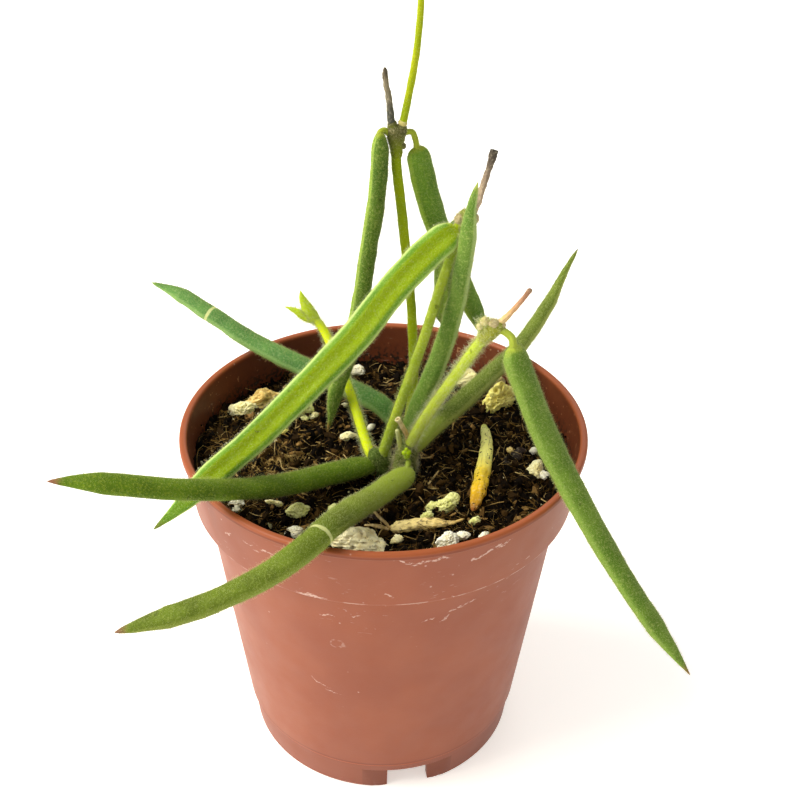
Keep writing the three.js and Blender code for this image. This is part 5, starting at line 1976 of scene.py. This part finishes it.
@dataclass
class Studio:
    """The plain pale floor, soft lights and the camera at the photograph's viewing angle."""

    rim_height: float
    distance: float = 175.79
    pitch: float = math.radians(34.396)
    tilt: float = math.radians(1.211)
    yaw: float = math.radians(0.63)
    roll: float = math.radians(0.364)
    focal_px: float = 1188.27
    frame_px: float = 794.0
    sensor: float = 36.0
    sky: float = 0.5
    lit_point: Point = (0, 0, 0.05)

    def camera(self) -> None:
        """Sets up the camera: it looks down at the middle of the rim, then is turned a little."""
        eye = Vector((0, -self.distance * math.cos(self.pitch),
                      self.rim_height + self.distance * math.sin(self.pitch)))
        right = Vector((1, 0, 0))
        ahead = (Vector((0, 0, self.rim_height)) - eye).normalized()
        above = right.cross(ahead)
        forward = ahead * math.cos(self.tilt) + above * math.sin(self.tilt)
        above = above * math.cos(self.tilt) - ahead * math.sin(self.tilt)
        turned = forward * math.cos(self.yaw) + right * math.sin(self.yaw)
        side = right * math.cos(self.yaw) - forward * math.sin(self.yaw)
        level_side = side * math.cos(self.roll) + above * math.sin(self.roll)
        level_up = above * math.cos(self.roll) - side * math.sin(self.roll)
        data = bpy.data.cameras.new("camera")
        data.sensor_width = self.sensor
        data.lens = self.sensor * self.focal_px / self.frame_px
        data.clip_start, data.clip_end = 0.01, 20
        camera = bpy.data.objects.new("camera", data)
        axes = Matrix((level_side, level_up, -turned)).transposed().to_4x4()
        camera.matrix_world = Matrix.Translation(eye * MM) @ axes
        bpy.context.scene.collection.objects.link(camera)
        bpy.context.scene.camera = camera

    def floor(self) -> None:
        """A wide pale floor just under the pot's foot."""
        half = 3.0
        mesh = bpy.data.meshes.new("floor")
        corners = [(-half, -half, 0), (half, -half, 0), (half, half, 0), (-half, half, 0)]
        mesh.from_pydata(corners, [], [(0, 1, 2, 3)])
        floor = bpy.data.objects.new("floor", mesh)
        bpy.context.scene.collection.objects.link(floor)
        sheet = Sheet(
            "floor_pale", 0.9, "f8f6f2", Specular_IOR_Level=0.1, Emission_Strength=0.5,
            Emission_Color=tone("fffdf6"),
        )
        mesh.materials.append(sheet.finish())

    def lamp(self, name: str, at: Point, size: float, power: float, colour: Colour) -> None:
        """A square soft light that faces the plant.

        Args:
            name: The lamp's name.
            at: Its place, in metres.
            size: Its side, in metres.
            power: Its power in watts.
            colour: Its colour.
        """
        data = bpy.data.lights.new(name, "AREA")
        data.size, data.energy, data.color = size, power, colour[:3]
        lamp = bpy.data.objects.new(name, data)
        lamp.location = at
        way = Vector(self.lit_point) - Vector(at)
        lamp.rotation_mode = "QUATERNION"
        lamp.rotation_quaternion = way.to_track_quat("-Z", "Y")
        bpy.context.scene.collection.objects.link(lamp)

    def surroundings(self) -> None:
        """Even surroundings: white to the eye, and a softer light on the plant."""
        world = bpy.data.worlds.new("surroundings")
        world.use_nodes = True
        nodes = world.node_tree.nodes
        background = nodes["Background"]
        background.inputs["Color"].default_value = (1, 1, 1, 1)
        seen = nodes.new("ShaderNodeLightPath").outputs["Is Camera Ray"]
        strength = nodes.new("ShaderNodeMapRange")
        strength.inputs["To Min"].default_value = self.sky
        strength.inputs["To Max"].default_value = 1.0
        world.node_tree.links.new(seen, strength.inputs["Value"])
        world.node_tree.links.new(strength.outputs[0], background.inputs["Strength"])
        bpy.context.scene.world = world

    def build(self) -> None:
        """Makes the camera, the floor, the lamps and the surroundings."""
        self.camera()
        self.floor()
        self.lamp("key", (-0.62, -0.05, 0.75), 0.7, 13.0, tone("fffaf0"))
        self.lamp("fill", (-0.85, -0.45, 0.25), 0.6, 1.8, tone("fffdfa"))
        self.lamp("back", (0.15, 0.8, 0.6), 0.6, 1.5, tone("ffffff"))
        self.surroundings()
        scene = bpy.context.scene
        scene.view_settings.view_transform = "Standard"
        scene.view_settings.look = "None"


def main() -> None:
    """Builds the potted plant and its studio."""
    logging.basicConfig(level=logging.INFO, format="%(name)s: %(message)s")
    finishes = Finishes()
    pot = Pot()
    Studio(pot.height).build()
    pot.build(finishes)
    inside, gap = pot.wall_inside(Soil.level), 0.02
    slope = (pot.wall_inside(pot.height) - inside) / (pot.height - Soil.level)
    Soil(inside - gap, slope).build(finishes)
    for number, grain in enumerate(GRAINS, 1):
        grain.build(number, finishes)
    pebbles(finishes)
    for part in CROWN + STEMS + NODES + STUBS + LEAVES + LITTER:
        part.build(finishes)


if __name__ == "__main__":
    main()
